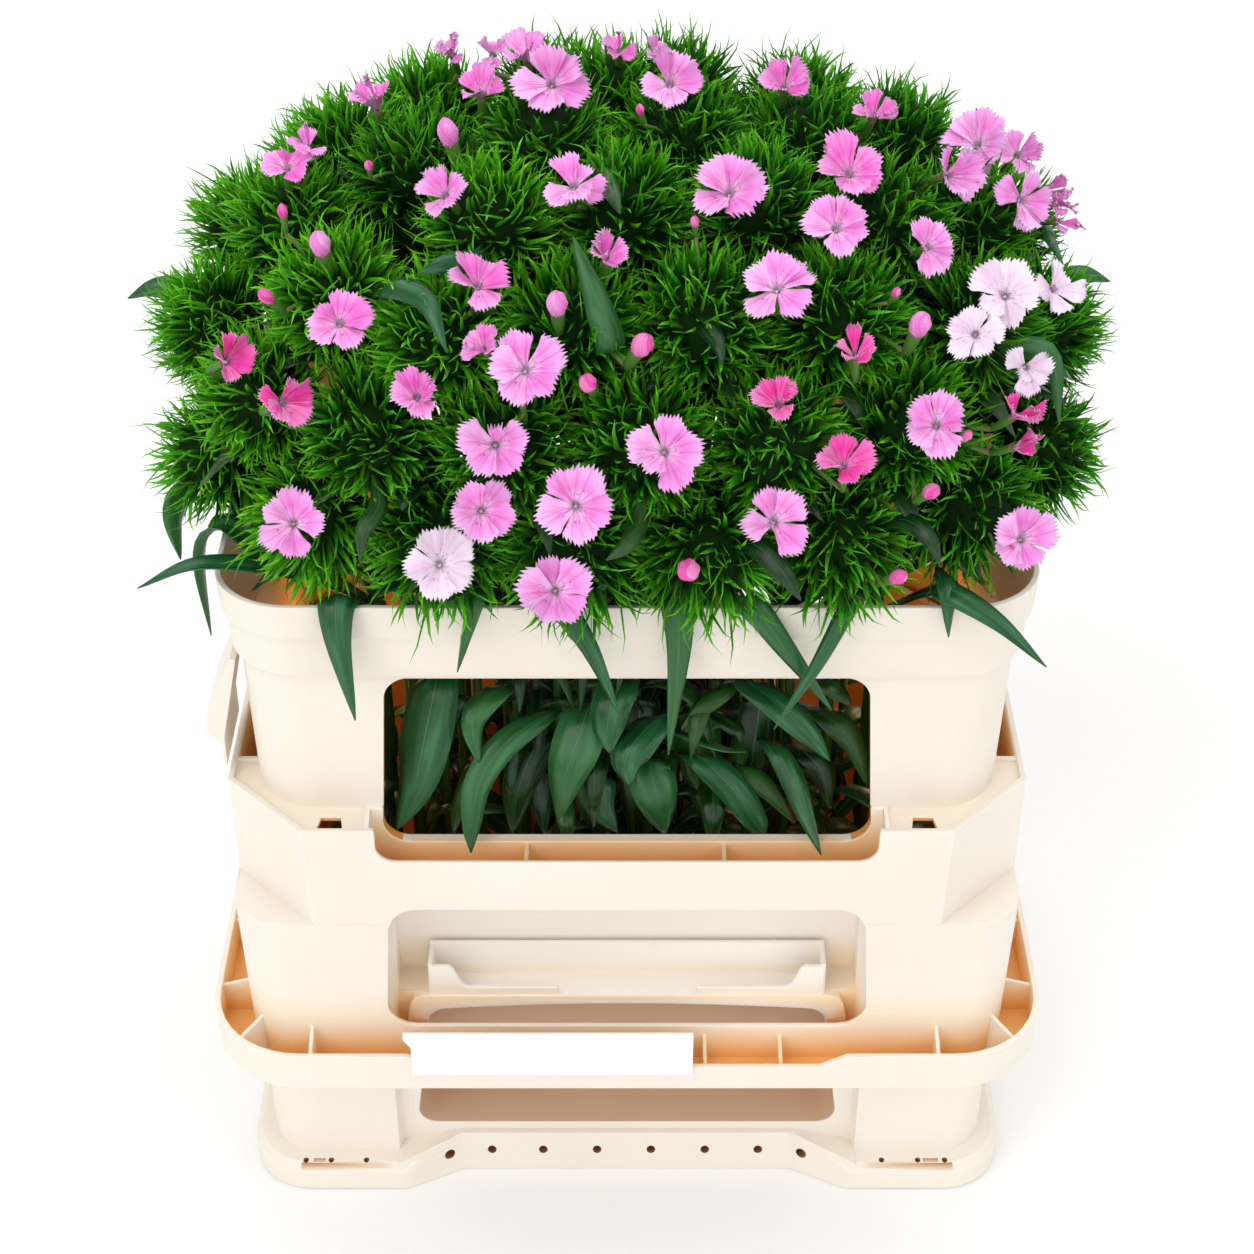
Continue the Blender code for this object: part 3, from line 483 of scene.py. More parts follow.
def tube(points, radii, sides, squash=1.0, flat=None):
    """A capped tube along points: verts, maps and faces."""
    points = np.asarray(points, float)
    radii = np.asarray(radii, float)
    ahead = unit(np.gradient(points, axis=0))
    ref = np.array((1.0, 0.0, 0.0)) if flat is None else np.asarray(flat, float)
    if flat is None and abs(ahead[len(ahead) // 2] @ ref) > 0.9:
        ref = np.array((0.0, 1.0, 0.0))
    side = unit(ref - ahead * (ahead @ ref)[:, None])
    up = np.cross(ahead, side)
    a = 2 * np.pi * np.arange(sides) / sides
    ring = (np.cos(a)[None, :, None] * side[:, None, :]
            + squash * np.sin(a)[None, :, None] * up[:, None, :]) * radii[:, None, None]
    verts = points[:, None, :] + ring
    count = len(points)
    maps = np.stack(np.meshgrid(np.linspace(0, 1, count), np.arange(sides) / sides,
                                indexing="ij")[::-1], -1)
    i, k = np.meshgrid(np.arange(count - 1), np.arange(sides), indexing="ij")
    a0 = (i * sides + k).ravel()
    a1 = (i * sides + (k + 1) % sides).ravel()
    quads = np.stack([a0, a1, a1 + sides, a0 + sides], 1)
    last = (count - 1) * sides
    fan = np.arange(1, sides - 1)
    caps = np.concatenate([np.stack([np.zeros_like(fan), fan + 1, fan], 1),
                           np.stack([np.full_like(fan, last), last + fan, last + fan + 1], 1)])
    return verts.reshape(-1, 3), maps.reshape(-1, 2), [quads, caps]


def curve_through(points, count):
    """Smooth curve through points, as count points an even step apart."""
    pts = np.asarray(points, float)
    pts = np.concatenate([[pts[0] * 2 - pts[1]], pts, [pts[-1] * 2 - pts[-2]]])
    spans = len(pts) - 3
    u = np.linspace(0, spans, count)
    k = np.minimum(u.astype(int), spans - 1)
    t = (u - k)[:, None]
    a, b, c, d = pts[k], pts[k + 1], pts[k + 2], pts[k + 3]
    return 0.5 * (2 * b + (c - a) * t + (2 * a - 5 * b + 4 * c - d) * t ** 2
                  + (3 * b - a - 3 * c + d) * t ** 3)


# ---------------------------------------------------------------- plant layout
HEAD_R, HEAD_GAP = 24.5, 1.2
DOME_X, DOME_Y, DOME_H, DOME_Z0, DOME_P = 188.0, 127.0, 126.0, 378.0, 2.4
DOME_Y0 = 4.0
FOOT_SX, FOOT_SY = 0.66, 0.56
BUCKET_FLOOR = 4.0
PETAL_R = 14.0
LEAN_T = 0.74

HEADS = [
    (335, 548), (450, 566), (565, 574), (691, 566), (838, 578), (985, 548),
    (218, 412), (318, 450), (428, 478), (540, 472), (655, 462), (768, 480),
    (880, 470), (1010, 450),
    (228, 335), (352, 352), (462, 372), (575, 370), (690, 372), (805, 366),
    (920, 368), (1024, 345),
    (246, 258), (338, 258), (478, 278), (595, 285), (708, 280), (826, 275),
    (938, 272),
    (292, 180), (382, 166), (476, 200), (582, 190), (694, 196), (800, 192),
    (904, 186), (992, 196),
    (434, 98), (522, 100), (612, 106), (704, 100), (786, 106), (878, 138),
]
HEADS_BACK = [
    (-150, 92), (-98, 118), (-45, 128), (8, 130), (60, 128), (112, 114),
    (158, 88), (-66, 100), (-20, 112), (30, 106), (-186, 24), (186, 16),
]


def sight_ray(px, py):
    cp, sp = math.cos(PITCH), math.sin(PITCH)
    u, v = (px - MIDDLE) / FOCAL, (py - MIDDLE) / FOCAL
    forward = Vector((0.0, cp, -sp))
    down = Vector((0.0, -sp, -cp))
    return Vector(tuple(EYE)), (forward + u * Vector((1, 0, 0)) + v * down).normalized()


def dome_level(p, grow):
    z = max(p.z - DOME_Z0, 0.0)
    return (abs(p.x / (DOME_X + grow)) ** DOME_P
            + abs((p.y - DOME_Y0) / (DOME_Y + grow)) ** DOME_P
            + (z / (DOME_H + grow)) ** DOME_P)


def dome_normal(p, grow):
    def term(value, half):
        return (1 if value >= 0 else -1) * DOME_P * abs(value / half) ** (DOME_P - 1) / half
    n = Vector((term(p.x, DOME_X + grow), term(p.y - DOME_Y0, DOME_Y + grow),
                term(max(p.z - DOME_Z0, 0.0), DOME_H + grow)))
    return n.normalized() if n.length > 1e-9 else Vector((0, 0, 1))


def to_dome(p, grow, low):
    base = Vector((0.0, DOME_Y0, DOME_Z0 - 60.0))
    ray = p - base
    if ray.z < 1.0:
        ray.z = 1.0
    near, far = 0.0, 4.0
    for _ in range(40):
        mid = (near + far) / 2
        if dome_level(base + ray * mid, grow) < 1.0:
            near = mid
        else:
            far = mid
    q = base + ray * near
    q.z = max(q.z, low)
    return q


def seen_on_dome(px, py, grow, low):
    start, ray = sight_ray(px, py)
    best, best_level = None, 1e9
    t = 600.0
    while t < 1700.0:
        p = start + ray * t
        level = dome_level(p, grow)
        if p.z < low - 70.0:
            break
        if level < best_level:
            best, best_level = p.copy(), level
        if level < 1.0:
            break
        t += 2.0
    return to_dome(best, grow, low)


def plan_on_dome(x, y, grow, low):
    p = Vector((x, y, DOME_Z0))
    level = abs(x / (DOME_X + grow)) ** DOME_P + abs((y - DOME_Y0) / (DOME_Y + grow)) ** DOME_P
    z = DOME_Z0
    if level < 1.0:
        z += (DOME_H + grow) * (1.0 - level) ** (1.0 / DOME_P)
    p.z = z
    return to_dome(p, grow, low)


def head_places():
    centres = [seen_on_dome(px, py, 0.0, DOME_Z0) for px, py in HEADS]
    centres += [plan_on_dome(x, y, 0.0, DOME_Z0) for x, y in HEADS_BACK]
    even, least = 2 * HEAD_R + 8.0, 2 * HEAD_R + HEAD_GAP
    for turn in range(460):
        want, push = (even, 0.22) if turn < 60 else (least, 0.5)
        moved = 0.0
        for i in range(len(centres)):
            for j in range(i + 1, len(centres)):
                gap = centres[j] - centres[i]
                if gap.length < want:
                    shift = gap.normalized() * (want - gap.length) * push
                    centres[i] -= shift
                    centres[j] += shift
                    moved = max(moved, shift.length)
        if moved < 0.05 and turn > 70:
            break
        centres = [to_dome(c, 0.0, DOME_Z0) for c in centres]
    return centres


def stalk_point(head, t):
    ease = max(0.0, (t - LEAN_T) / (1.0 - LEAN_T))
    fx, fy = head.x * FOOT_SX, head.y * FOOT_SY
    z0 = BUCKET_FLOOR + 0.5
    return Vector((fx + (head.x - fx) * ease, fy + (head.y - fy) * ease,
                   z0 + (head.z - z0) * t))


def smooth_stalk(head, t):
    """As stalk_point, with the bend rounded off."""
    k = max(0.0, (t - LEAN_T) / (1.0 - LEAN_T))
    ease = (math.sqrt(k * k + 0.012) - math.sqrt(0.012)) / (math.sqrt(1.012) - math.sqrt(0.012))
    fx, fy = head.x * FOOT_SX, head.y * FOOT_SY
    z0 = BUCKET_FLOOR + 0.5
    return Vector((fx + (head.x - fx) * ease, fy + (head.y - fy) * ease,
                   z0 + (head.z - z0) * t))


CENTRES = head_places()


# --------------------------------------------------------------------- tufts
def round_rect(x, y, hx, hy, r):
    """Distance outside a rounded rectangle, below 0 inside."""
    qx, qy = np.abs(x) - hx + r, np.abs(y) - hy + r
    return (np.hypot(np.maximum(qx, 0), np.maximum(qy, 0))
            + np.minimum(np.maximum(qx, qy), 0) - r)


def clear_of_rim(p):
    """Lets what would cut the rim lie over it instead."""
    s = round_rect(p[..., 0], p[..., 1], 179.0, 123.6, 33.0)
    over = (p[..., 2] < 350.0) & (s > -8.0) & (s < 1.4)
    p[..., 2] = np.where(over, 350.0, p[..., 2])
    return p


STEPS = np.array((0.0, 0.34, 0.66, 0.90))
SHAPE = np.array((0.62, 1.0, 0.92, 0.56))


def bracts(rng, centre, axis, count, wide, reach, curl, low_angle, lift_up=0.20,
           avoid=()):
    """Narrow keeled bracts that stand out from a head all round."""
    axis = unit(axis)
    full = count / (0.5 - 0.5 * math.cos(low_angle))
    i = np.arange(count) + 0.5
    polar = np.arccos(1 - 2 * i / full) + rng.normal(0, 0.07, count)
    turn = i * 2.399963 + rng.normal(0, 0.16, count)
    ref = np.array((0.0, 0.0, 1.0)) if abs(axis[2]) < 0.9 else np.array((1.0, 0.0, 0.0))
    e1 = unit(np.cross(ref, axis))
    e2 = np.cross(axis, e1)
    droop = lift_up if np.isscalar(lift_up) else rng.uniform(lift_up[0], lift_up[1], count)
    droop = (np.ones(count) * droop)[:, None, None]
    d = (np.sin(polar) * np.cos(turn))[:, None] * e1 + \
        (np.sin(polar) * np.sin(turn))[:, None] * e2 + np.cos(polar)[:, None] * axis
    inward = unit(axis - d * (d @ axis)[:, None] + e1 * 1e-4)
    twist = rng.normal(0, 0.55, count)
    side0 = np.cross(d, inward)
    side = side0 * np.cos(twist)[:, None] + inward * np.sin(twist)[:, None]
    face = np.cross(side, d)
    tip_r = rng.uniform(reach[0], reach[1], count)
    tip_r = tip_r - 6.0 * np.exp(-(polar / 0.30) ** 2)
    start_r = rng.uniform(5.0, 11.0, count)
    length = tip_r - start_r
    width = rng.uniform(wide[0], wide[1], count)
    bend = rng.normal(curl * 0.5, curl, count)
    sway = np.clip(rng.normal(0, curl * 1.1, count), -0.25, 0.25)
    hook = np.clip(rng.normal(curl * 0.8, curl * 1.6, count), -0.3, 0.4)
    hook_side = np.clip(rng.normal(0, curl * 1.8, count), -0.3, 0.3)
    t = np.append(STEPS, 1.0)[None, :, None]
    L = length[:, None, None]
    line = (centre + (d * start_r[:, None])[:, None, :] + d[:, None, :] * L * t
            + face[:, None, :] * bend[:, None, None] * L * t ** 2
            + side[:, None, :] * sway[:, None, None] * L * t ** 2
            + face[:, None, :] * hook[:, None, None] * L * t ** 6
            + side[:, None, :] * hook_side[:, None, None] * L * t ** 6
            + np.array((0, 0, 1.0)) * droop * L * t ** 2 * (polar / 2.0)[:, None, None])
    line = clear_of_rim(line)
    # none grows through an open flower
    keep = np.ones(count, bool)
    for spot, facing, radius in avoid:
        gap = line[:, 1:] - spot
        high = gap @ facing
        flat = np.linalg.norm(gap - high[..., None] * facing, axis=-1)
        keep &= ~((high > -3.0) & (flat < radius * 0.92 + np.maximum(high, 0) * 0.25)).any(1)
    line, side, face, width = line[keep], side[keep], face[keep], width[keep]
    count = int(keep.sum())
    w = width[:, None, None] * SHAPE[None, :, None] * 0.5
    deep = w * rng.uniform(0.45, 0.85, count)[:, None, None] + 0.12
    c = line[:, :4]
    left = c - side[:, None, :] * w + face[:, None, :] * deep * 0.5
    right = c + side[:, None, :] * w + face[:, None, :] * deep * 0.5
    keel = c - face[:, None, :] * deep * 0.5
    rings = np.stack([left, keel, right], 2)                      # n, 4, 3, 3
    verts = np.concatenate([rings.reshape(count, 12, 3), line[:, 4:5]], 1)
    column = rng.integers(0, TUFT_COLS, count)[:, None]
    across = np.array((0.94, 0.08, 0.94))
    u = (column + np.tile(across, 4)[None, :]) / TUFT_COLS
    v = np.repeat(STEPS, 3)[None, :] * np.ones((count, 1))
    u = np.concatenate([u, (column + 0.55) / TUFT_COLS], 1)
    v = np.concatenate([v, np.ones((count, 1))], 1)
    maps = np.stack([u, 0.01 + 0.98 * v], -1)
    quads = []
    for r in range(3):
        for k in range(3):
            m = (k + 1) % 3
            quads.append((r * 3 + k, r * 3 + m, r * 3 + 3 + m, r * 3 + 3 + k))
    tris = [(2, 1, 0)] + [(9 + k, 9 + (k + 1) % 3, 12) for k in range(3)]
    base = (np.arange(count) * 13)[:, None, None]
    return (verts.reshape(-1, 3), maps.reshape(-1, 2),
            [(np.array(quads)[None] + base).reshape(-1, 4),
             (np.array(tris)[None] + base).reshape(-1, 3)])


def shade_ball(centre, axis, radius):
    """A dark ball inside a head: painted shade between the bracts."""
    rows, cols = 7, 10
    polar = np.linspace(0.08, math.pi - 0.08, rows)
    points = centre + unit(axis) * (-np.cos(polar)[:, None]) * radius
    return tube(points, np.sin(polar) * radius, cols)


def head_axis(head):
    top = stalk_point(head, 1.0)
    axis = (top - stalk_point(head, 0.93)).normalized()
    lean = (axis + Vector((0, 0, 1.2))).normalized()
    out = dome_normal(head, 0.0)
    return np.array((lean * 0.35 + out * 0.75).normalized())


# -------------------------------------------------------------------- leaves
def leaf(path, width, across, column, seg=13, thick=0.6, cup=0.30, wave=0.0, seed=0,
         belly=0.42, sweep=0.0):
    """A long leaf along path: verts, maps and faces of a thin closed solid."""
    line = curve_through(path, seg)
    t = np.linspace(0, 1, seg)
    ahead = unit(np.gradient(line, axis=0))
    side = unit(np.asarray(across, float) - ahead * (ahead @ np.asarray(across, float))[:, None])
    if sweep:
        up0 = np.cross(side, ahead)
        ang = sweep * t
        side = side * np.cos(ang)[:, None] + up0 * np.sin(ang)[:, None]
    up = np.cross(side, ahead)
    power = math.log(0.5) / math.log(belly)
    w = np.sin(np.pi * np.clip(t, 0, 1) ** power) ** 0.80 * width * 0.5
    w = np.maximum(w, np.where(t < 0.5, width * 0.13, 0.25))
    s = np.array((-1.0, -0.52, 0.0, 0.52, 1.0))
    lift = cup * np.abs(s) ** 1.3
    ripple = wave * np.sin(t * 9.0 + seed)[:, None] * s[None, :] ** 2
    grid = (line[:, None, :] + side[:, None, :] * (w[:, None] * s[None, :])[..., None]
            + up[:, None, :] * (w[:, None] * (lift[None, :] + ripple))[..., None])
    verts, faces = thin_shell(grid, thick * (1.0 - 0.55 * t))
    uu = (column + 0.5 + 0.46 * s[None, :]) / LEAF_COLS * np.ones((seg, 1))
    vv = (0.01 + 0.98 * t)[:, None] * np.ones((1, 5))
    maps = np.stack([uu, vv], -1).reshape(-1, 2)
    return verts, np.concatenate([maps, maps]), faces


def at_depth(px, py, y):
    """The point seen at (px, py) that lies in the plane of that y."""
    start, ray = sight_ray(px, py)
    return np.array(start + ray * ((y - start.y) / ray.y))


# leaves that reach past the rim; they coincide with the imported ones
RIM_LEAVES = [
    ([(-186, 24, 402), (-196, 19, 419), (-211, 18, 423), (-226, 20, 417)], 13, (0.2, 0.8, 0.55)),
    ([(-140, -84, 338), (-160, -101, 352.5), (-185, -108, 357), (-208, -113, 350)], 14, (-0.3, 1, 0)),
    ([(-184, -46, 368), (-196, -52, 360), (-200, -60, 350), (-198, -68, 334)], 12, (0.7, 0.7, 0)),
    ([(-160, -66, 338), (-178, -70, 352), (-187, -76, 340), (-186, -80, 301)], 14, (0.5, 1, 0)),
    ([(-118, -104, 338), (-122, -124, 352.5), (-122, -133, 336), (-117, -135, 296)], 17, (1, 0, 0)),
    ([(-30, -106, 338), (-30, -124, 352.5), (-16, -134, 334), (-3, -136, 299)], 12, (1, 0, 0)),
    ([(22, -106, 338), (21, -124, 352.5), (22, -133, 330), (18, -135, 277)], 15, (1, 0, 0)),
    ([(44, -106, 338), (50, -124, 352.5), (68, -132, 330), (88, -133, 300)], 13, (1, 0, 0)),
    ([(98, -106, 338), (95, -124, 352.5), (80, -139, 328), (63, -141, 296)], 8.5, (1, 0, 0)),
    ([(128, -102, 342), (136, -123, 356), (156, -133, 347), (177, -138, 327)], 12, (0.7, 0.6, 0.3)),
    ([(192, 34, 402), (203, 46, 411), (214, 53, 412), (226, 57, 406)], 11, (-0.4, 0.6, 0.8)),
    ([(34, 104, 338), (36, 123, 354), (42, 136, 336), (52, 139, 298)], 14, (1, 0, 0)),
    ([(-76, 104, 338), (-74, 124, 352.5), (-68, 136, 338), (-62, 139, 304)], 14, (1, 0, 0)),
]
# smaller ones: over the rim, and blades that lie among the heads, as points
# in the view, with their width
SMALL_LEAVES = [
    ([(133, -100, 352), (134, -118, 358), (135, -127, 352), (136, -129, 336)], 8),
    ([(160, -26, 426), (172, -30, 428), (183, -34, 420), (185, -39, 403)], 8.5),
    ([(-60, -104, 346), (-62, -122, 355), (-66, -132, 344), (-72, -135, 322)], 7),
    ([(112, 100, 348), (114, 118, 356), (118, 130, 346), (124, 134, 322)], 8),
    ([(-20, 104, 346), (-18, 122, 355), (-14, 132, 344), (-10, 136, 320)], 8),
]
DOME_LEAVES = [
    ([(385, 285), (425, 300), (447, 352)], 11, 2), ([(480, 262), (448, 266), (420, 275)], 9, 2),
    ([(612, 352), (596, 300), (573, 238)], 12, 2), ([(600, 170), (612, 195), (620, 215)], 8, 3),
    ([(755, 545), (782, 572), (800, 600)], 10, 3), ([(1040, 225), (1050, 243), (1062, 265)], 5, 2),
    ([(640, 520), (626, 545), (606, 560)], 8, 3), ([(380, 505), (366, 530), (360, 562)], 8, 3),
    ([(905, 520), (930, 540), (940, 566)], 8, 3), ([(700, 320), (716, 340), (722, 366)], 8, 3),
    ([(1012, 345), (1050, 358), (1058, 425)], 10, 2),
]

# leaves seen in the front window, as points in the view with their depth,
# width (mm), how far the blade turns, and 1 where it catches the light
WINDOW_LEAVES = [
    ([(437, 678, -90), (425, 736, -101), (415, 783, -107), (397, 830, -113)], 24, -0.45, 1),
    ([(485, 699, -84), (456, 704, -94), (440, 774, -98)], 13, 0.2, 0),
    ([(506, 686, -88), (480, 707, -100), (473, 732, -106), (480, 765, -107)], 12, 0.3, 1),
    ([(549, 713, -86), (507, 742, -101), (479, 783, -112), (472, 825, -121),
      (471, 853, -127)], 13.5, 0.4, 1),
    ([(543, 737, -78), (520, 783, -92), (512, 835, -97)], 18, 0.0, 0),
    ([(539, 770, -82), (540, 800, -90), (545, 835, -97)], 12, 0.0, 0),
    ([(475, 765, -82), (460, 805, -92), (453, 835, -95)], 8.5, 0.0, 0),
    ([(590, 704, -86), (578, 739, -100), (565, 777, -108), (559, 819, -111)], 23, -0.3, 1),
    ([(622, 678, -88), (611, 704, -100), (607, 732, -105), (610, 753, -108)], 18, -0.2, 1),
    ([(661, 716, -88), (635, 742, -102), (625, 764, -108), (630, 786, -111)], 18.6, -0.35, 1),
    ([(729, 683, -86), (708, 704, -97), (681, 729, -102)], 9, 0.1, 0),
    ([(651, 761, -84), (657, 799, -96), (665, 835, -100)], 22, 0.15, 1),
    ([(600, 777, -84), (600, 806, -94), (617, 832, -100)], 15, 0.0, 1),
    ([(743, 678, -88), (775, 702, -102), (807, 732, -110), (830, 761, -113)], 14, 0.25, 1),
    ([(822, 712, -84), (852, 742, -95), (868, 787, -98)], 12.5, -0.1, 0),
    ([(820, 680, -84), (838, 692, -90), (852, 705, -94)], 9, 0.0, 0),
    ([(772, 745, -88), (791, 777, -101), (804, 812, -112), (821, 855, -126)], 11, -0.35, 1),
    ([(697, 756, -86), (731, 787, -96), (756, 822, -101), (766, 835, -103)], 15, 0.1, 1),
    ([(737, 764, -84), (765, 787, -94), (795, 823, -100)], 10.5, 0.2, 0),
    ([(683, 732, -86), (718, 745, -99), (746, 752, -105)], 10, 0.35, 1),
    ([(708, 710, -84), (737, 729, -95), (740, 742, -98)], 8, 0.2, 0),
    ([(802, 750, -84), (822, 772, -93), (829, 806, -97)], 14, 0.0, 0),
    # dark ones behind, in the middle, in the shaded copy: painted shade
    ([(560, 700, -72), (580, 760, -78), (590, 830, -82)], 22, 0.0, 0),
    ([(690, 700, -70), (700, 760, -76), (705, 830, -80)], 22, 0.0, 0),
    ([(640, 700, -70), (636, 770, -78), (632, 840, -80)], 20, 0.0, 0),
    ([(760, 700, -72), (752, 760, -78), (746, 830, -82)], 18, 0.0, 0),
]


# ------------------------------------------------------------------- flowers
# x, y and half width in the view; tone (0 deep, 1 pink, 2 light, 3 pale);
# how far it is open (1 flat, 0 a narrow trumpet); and its tilt: to the right
# and upwards in the view, 0 facing the eye
FLOWERS = [
    (377, 110, 31, 1, 0.62, -0.2, 1.05), (308, 152, 22, 1, 0.55, 0.3, 1.1),
    (288, 172, 27, 1, 0.55, -0.1, 1.1), (448, 199, 27, 2, 0.66, -0.5, 0.6),
    (482, 98, 24, 1, 0.58, 0.0, 1.1), (527, 62, 22, 2, 0.60, -0.2, 1.0),
    (552, 88, 36, 2, 0.74, 0.0, 0.35),
    (619, 54, 18, 1, 0.62, 0.0, 0.7), (670, 87, 32, 2, 0.90, 0.0, 0.75),
    (784, 91, 26, 1, 0.50, 0.1, 0.7), (872, 120, 23, 1, 0.58, 0.3, 0.7),
    (574, 190, 30, 2, 0.75, 0.0, 0.55), (729, 197, 38, 2, 0.92, 0.05, 0.5),
    (606, 262, 23, 1, 0.60, 0.05, 0.7), (478, 290, 30, 1, 0.70, 0.15, 0.75),
    (340, 326, 31, 1, 0.70, 0.05, 0.55), (226, 363, 24, 0, 0.55, 0.6, 0.3),
    (282, 404, 28, 0, 0.62, 0.7, 0.35), (418, 400, 28, 1, 0.60, 0.0, 0.5),
    (486, 352, 22, 1, 0.60, -0.4, 0.4), (526, 373, 38, 2, 0.78, 0.05, 0.25),
    (497, 446, 36, 2, 0.95, 0.0, 0.10), (664, 453, 38, 2, 0.93, 0.0, 0.12),
    (777, 408, 25, 0, 0.60, 0.0, 0.5), (854, 359, 19, 0, 0.30, 0.0, 0.8),
    (935, 427, 34, 2, 0.85, 0.1, 0.3), (841, 469, 29, 0, 0.72, 0.0, 0.75),
    (1010, 418, 20, 0, 0.30, 0.7, 0.4), (1012, 448, 16, 0, 0.25, 0.8, 0.2),
    (296, 524, 33, 2, 0.92, -0.2, 0.1), (482, 511, 32, 2, 0.92, 0.1, 0.0),
    (576, 506, 36, 2, 0.97, 0.0, 0.05), (773, 523, 35, 2, 0.93, -0.05, 0.05),
    (440, 565, 38, 3, 0.88, 0.0, 0.15), (556, 590, 38, 2, 0.96, 0.0, -0.05),
    (1017, 540, 33, 2, 0.85, 0.25, 0.15), (776, 293, 37, 2, 0.85, 0.05, 0.55),
    (835, 232, 32, 2, 0.70, 0.1, 0.5), (924, 250, 28, 2, 0.75, 0.3, 0.15),
    (848, 178, 34, 1, 0.70, 0.2, 0.65), (942, 178, 30, 2, 0.62, 0.9, 0.3),
    (978, 148, 34, 2, 0.75, -0.4, 0.9), (1018, 200, 31, 2, 0.80, 0.7, -0.2),
    (1003, 298, 36, 3, 0.88, 0.0, 0.15), (1050, 290, 27, 3, 0.70, 0.9, 0.2),
    (975, 335, 27, 3, 0.75, -0.1, 0.1), (1022, 368, 25, 3, 0.75, 0.3, -0.1),
    # small ones behind the edge of the dome
    (453, 56, 15, 2, 0.62, -0.2, 0.6), (493, 56, 14, 2, 0.60, 0.0, 0.6),
    (656, 56, 13, 2, 0.60, 0.2, 0.6), (1024, 150, 26, 2, 0.70, 0.5, 0.5),
    (1054, 185, 13, 1, 0.25, 1.0, 0.3), (1050, 205, 12, 1, 0.25, 1.0, 0.1),
    (1056, 222, 12, 1, 0.25, 1.0, 0.0),
]
FLOWERS_BACK = [
    (-152, 104, 1), (-112, 132, 2), (-70, 138, 2), (-30, 150, 1), (18, 144, 2),
    (62, 140, 0), (104, 134, 2), (148, 108, 3), (-130, 112, 2), (-92, 118, 0),
    (-44, 124, 2), (-4, 122, 1), (38, 124, 3), (84, 118, 1), (124, 110, 2),
]
BUDS = [
    (452, 147, 12, 1), (325, 256, 12, 1), (558, 315, 12, 1), (637, 354, 12, 0),
    (590, 388, 10, 0), (914, 335, 12, 1), (924, 495, 9, 0), (690, 571, 13, 0),
    (891, 579, 9, 0), (641, 117, 5, 0), (695, 227, 5, 0), (891, 298, 5, 0),
    (285, 220, 6, 0), (275, 303, 8, 0), (1002, 575, 6, 0), (523, 405, 6, 0),
    (371, 172, 5, 0), (960, 440, 6, 0),
]
BUDS_BACK = [(-130, 124, 0), (-92, 138, 1), (-52, 146, 1), (40, 150, 0), (84, 140, 0),
             (126, 124, 1)]


def petal_grid(radius, turn, openness, rng, size, tilt=0.0, rows=8, cols=21):
    """One petal as a (rows, cols, 3) sheet; the flower faces +Z, throat at 0."""
    t = np.linspace(0, 1, rows) ** 0.85
    s = np.linspace(-1, 1, cols)
    fine = np.linspace(0, 1, 60)
    pitch = math.radians(4 + 74 * (1 - openness)) + tilt + rng.normal(0, 0.22)
    slope = pitch + (math.radians(84) - pitch) * np.clip(1 - fine / 0.26, 0, 1) ** 1.5
    slope = slope - (0.25 + 0.35 * openness) * np.clip(fine - 0.5, 0, 1) * (1 + rng.normal(0, 0.6))
    reach = np.concatenate([[0], np.cumsum(np.cos(slope[:-1]))]) / 59
    rise = np.concatenate([[0], np.cumsum(np.sin(slope[:-1]))]) / 59
    length = min((radius - 0.9) / max(reach[-1], 0.05), max(radius * 1.25, 15.0)) * size
    r = 0.9 + np.interp(t, fine, reach) * length
    z = np.interp(t, fine, rise) * length
    half = radius * (0.06 + 0.50 * np.clip(t / 0.84, 0, 1) ** 1.20) * rng.uniform(0.80, 1.10)
    half = np.where(openness < 0.5, half * 0.86, half)
    # the outer edge: a flat curve with fine uneven teeth, corners pulled in
    tooth = np.where(np.arange(cols) % 2 == 0, 0.5, -0.5) * rng.uniform(0.35, 1.60, cols)
    tooth = tooth + 0.25 * np.sin(s * rng.uniform(5, 9) + rng.uniform(0, 6))
    grow = (np.clip((t - 0.62) / 0.38, 0, 1) ** 1.6)[:, None]
    out = r[:, None] - length * 0.15 * grow * (np.abs(s) ** 2.4)[None, :]
    out = out + length * 0.115 * (grow ** 3.0) * tooth[None, :]
    x_side = half[:, None] * s[None, :]
    ang = x_side / np.maximum(np.maximum(out, 0.3), half[:, None] * 0.80)
    flat = np.clip(ang, -0.80, 0.80)
    # folds, an overlap with the next petal, and a soft ripple
    fold = rng.choice((0.02, 0.08, 0.18, 0.36), p=(0.20, 0.32, 0.28, 0.20))
    deep = (np.clip(t / 0.7, 0, 1) ** 1.2)[:, None]
    up = z[:, None] + length * (fold * np.abs(s) ** 1.1 - fold * 0.5)[None, :] * deep
    up = up + length * rng.uniform(-0.06, 0.24) * s[None, :] * deep
    wave = rng.uniform(0.02, 0.055) * length
    up = up + wave * np.sin(s * rng.uniform(2.5, 5.5) + rng.uniform(0, 6))[None, :] * (t ** 2)[:, None]
    up = up + length * 0.014 * np.sin(s * 15.0 + rng.uniform(0, 6))[None, :] * (t ** 3)[:, None]
    a = turn + flat
    return np.stack([out * np.cos(a), out * np.sin(a), up], -1)


def put(frame3, origin, points):
    """Points of a local frame (rows side, up, facing) placed at origin."""
    return origin + np.asarray(points) @ frame3


def face_frame(facing, spin):
    facing = unit(facing)
    ref = np.array((0.0, 0.0, 1.0)) if abs(facing[2]) < 0.95 else np.array((0.0, 1.0, 0.0))
    a = unit(np.cross(ref, facing))
    b = np.cross(facing, a)
    c, s = math.cos(spin), math.sin(spin)
    return np.stack([a * c + b * s, -a * s + b * c, facing])


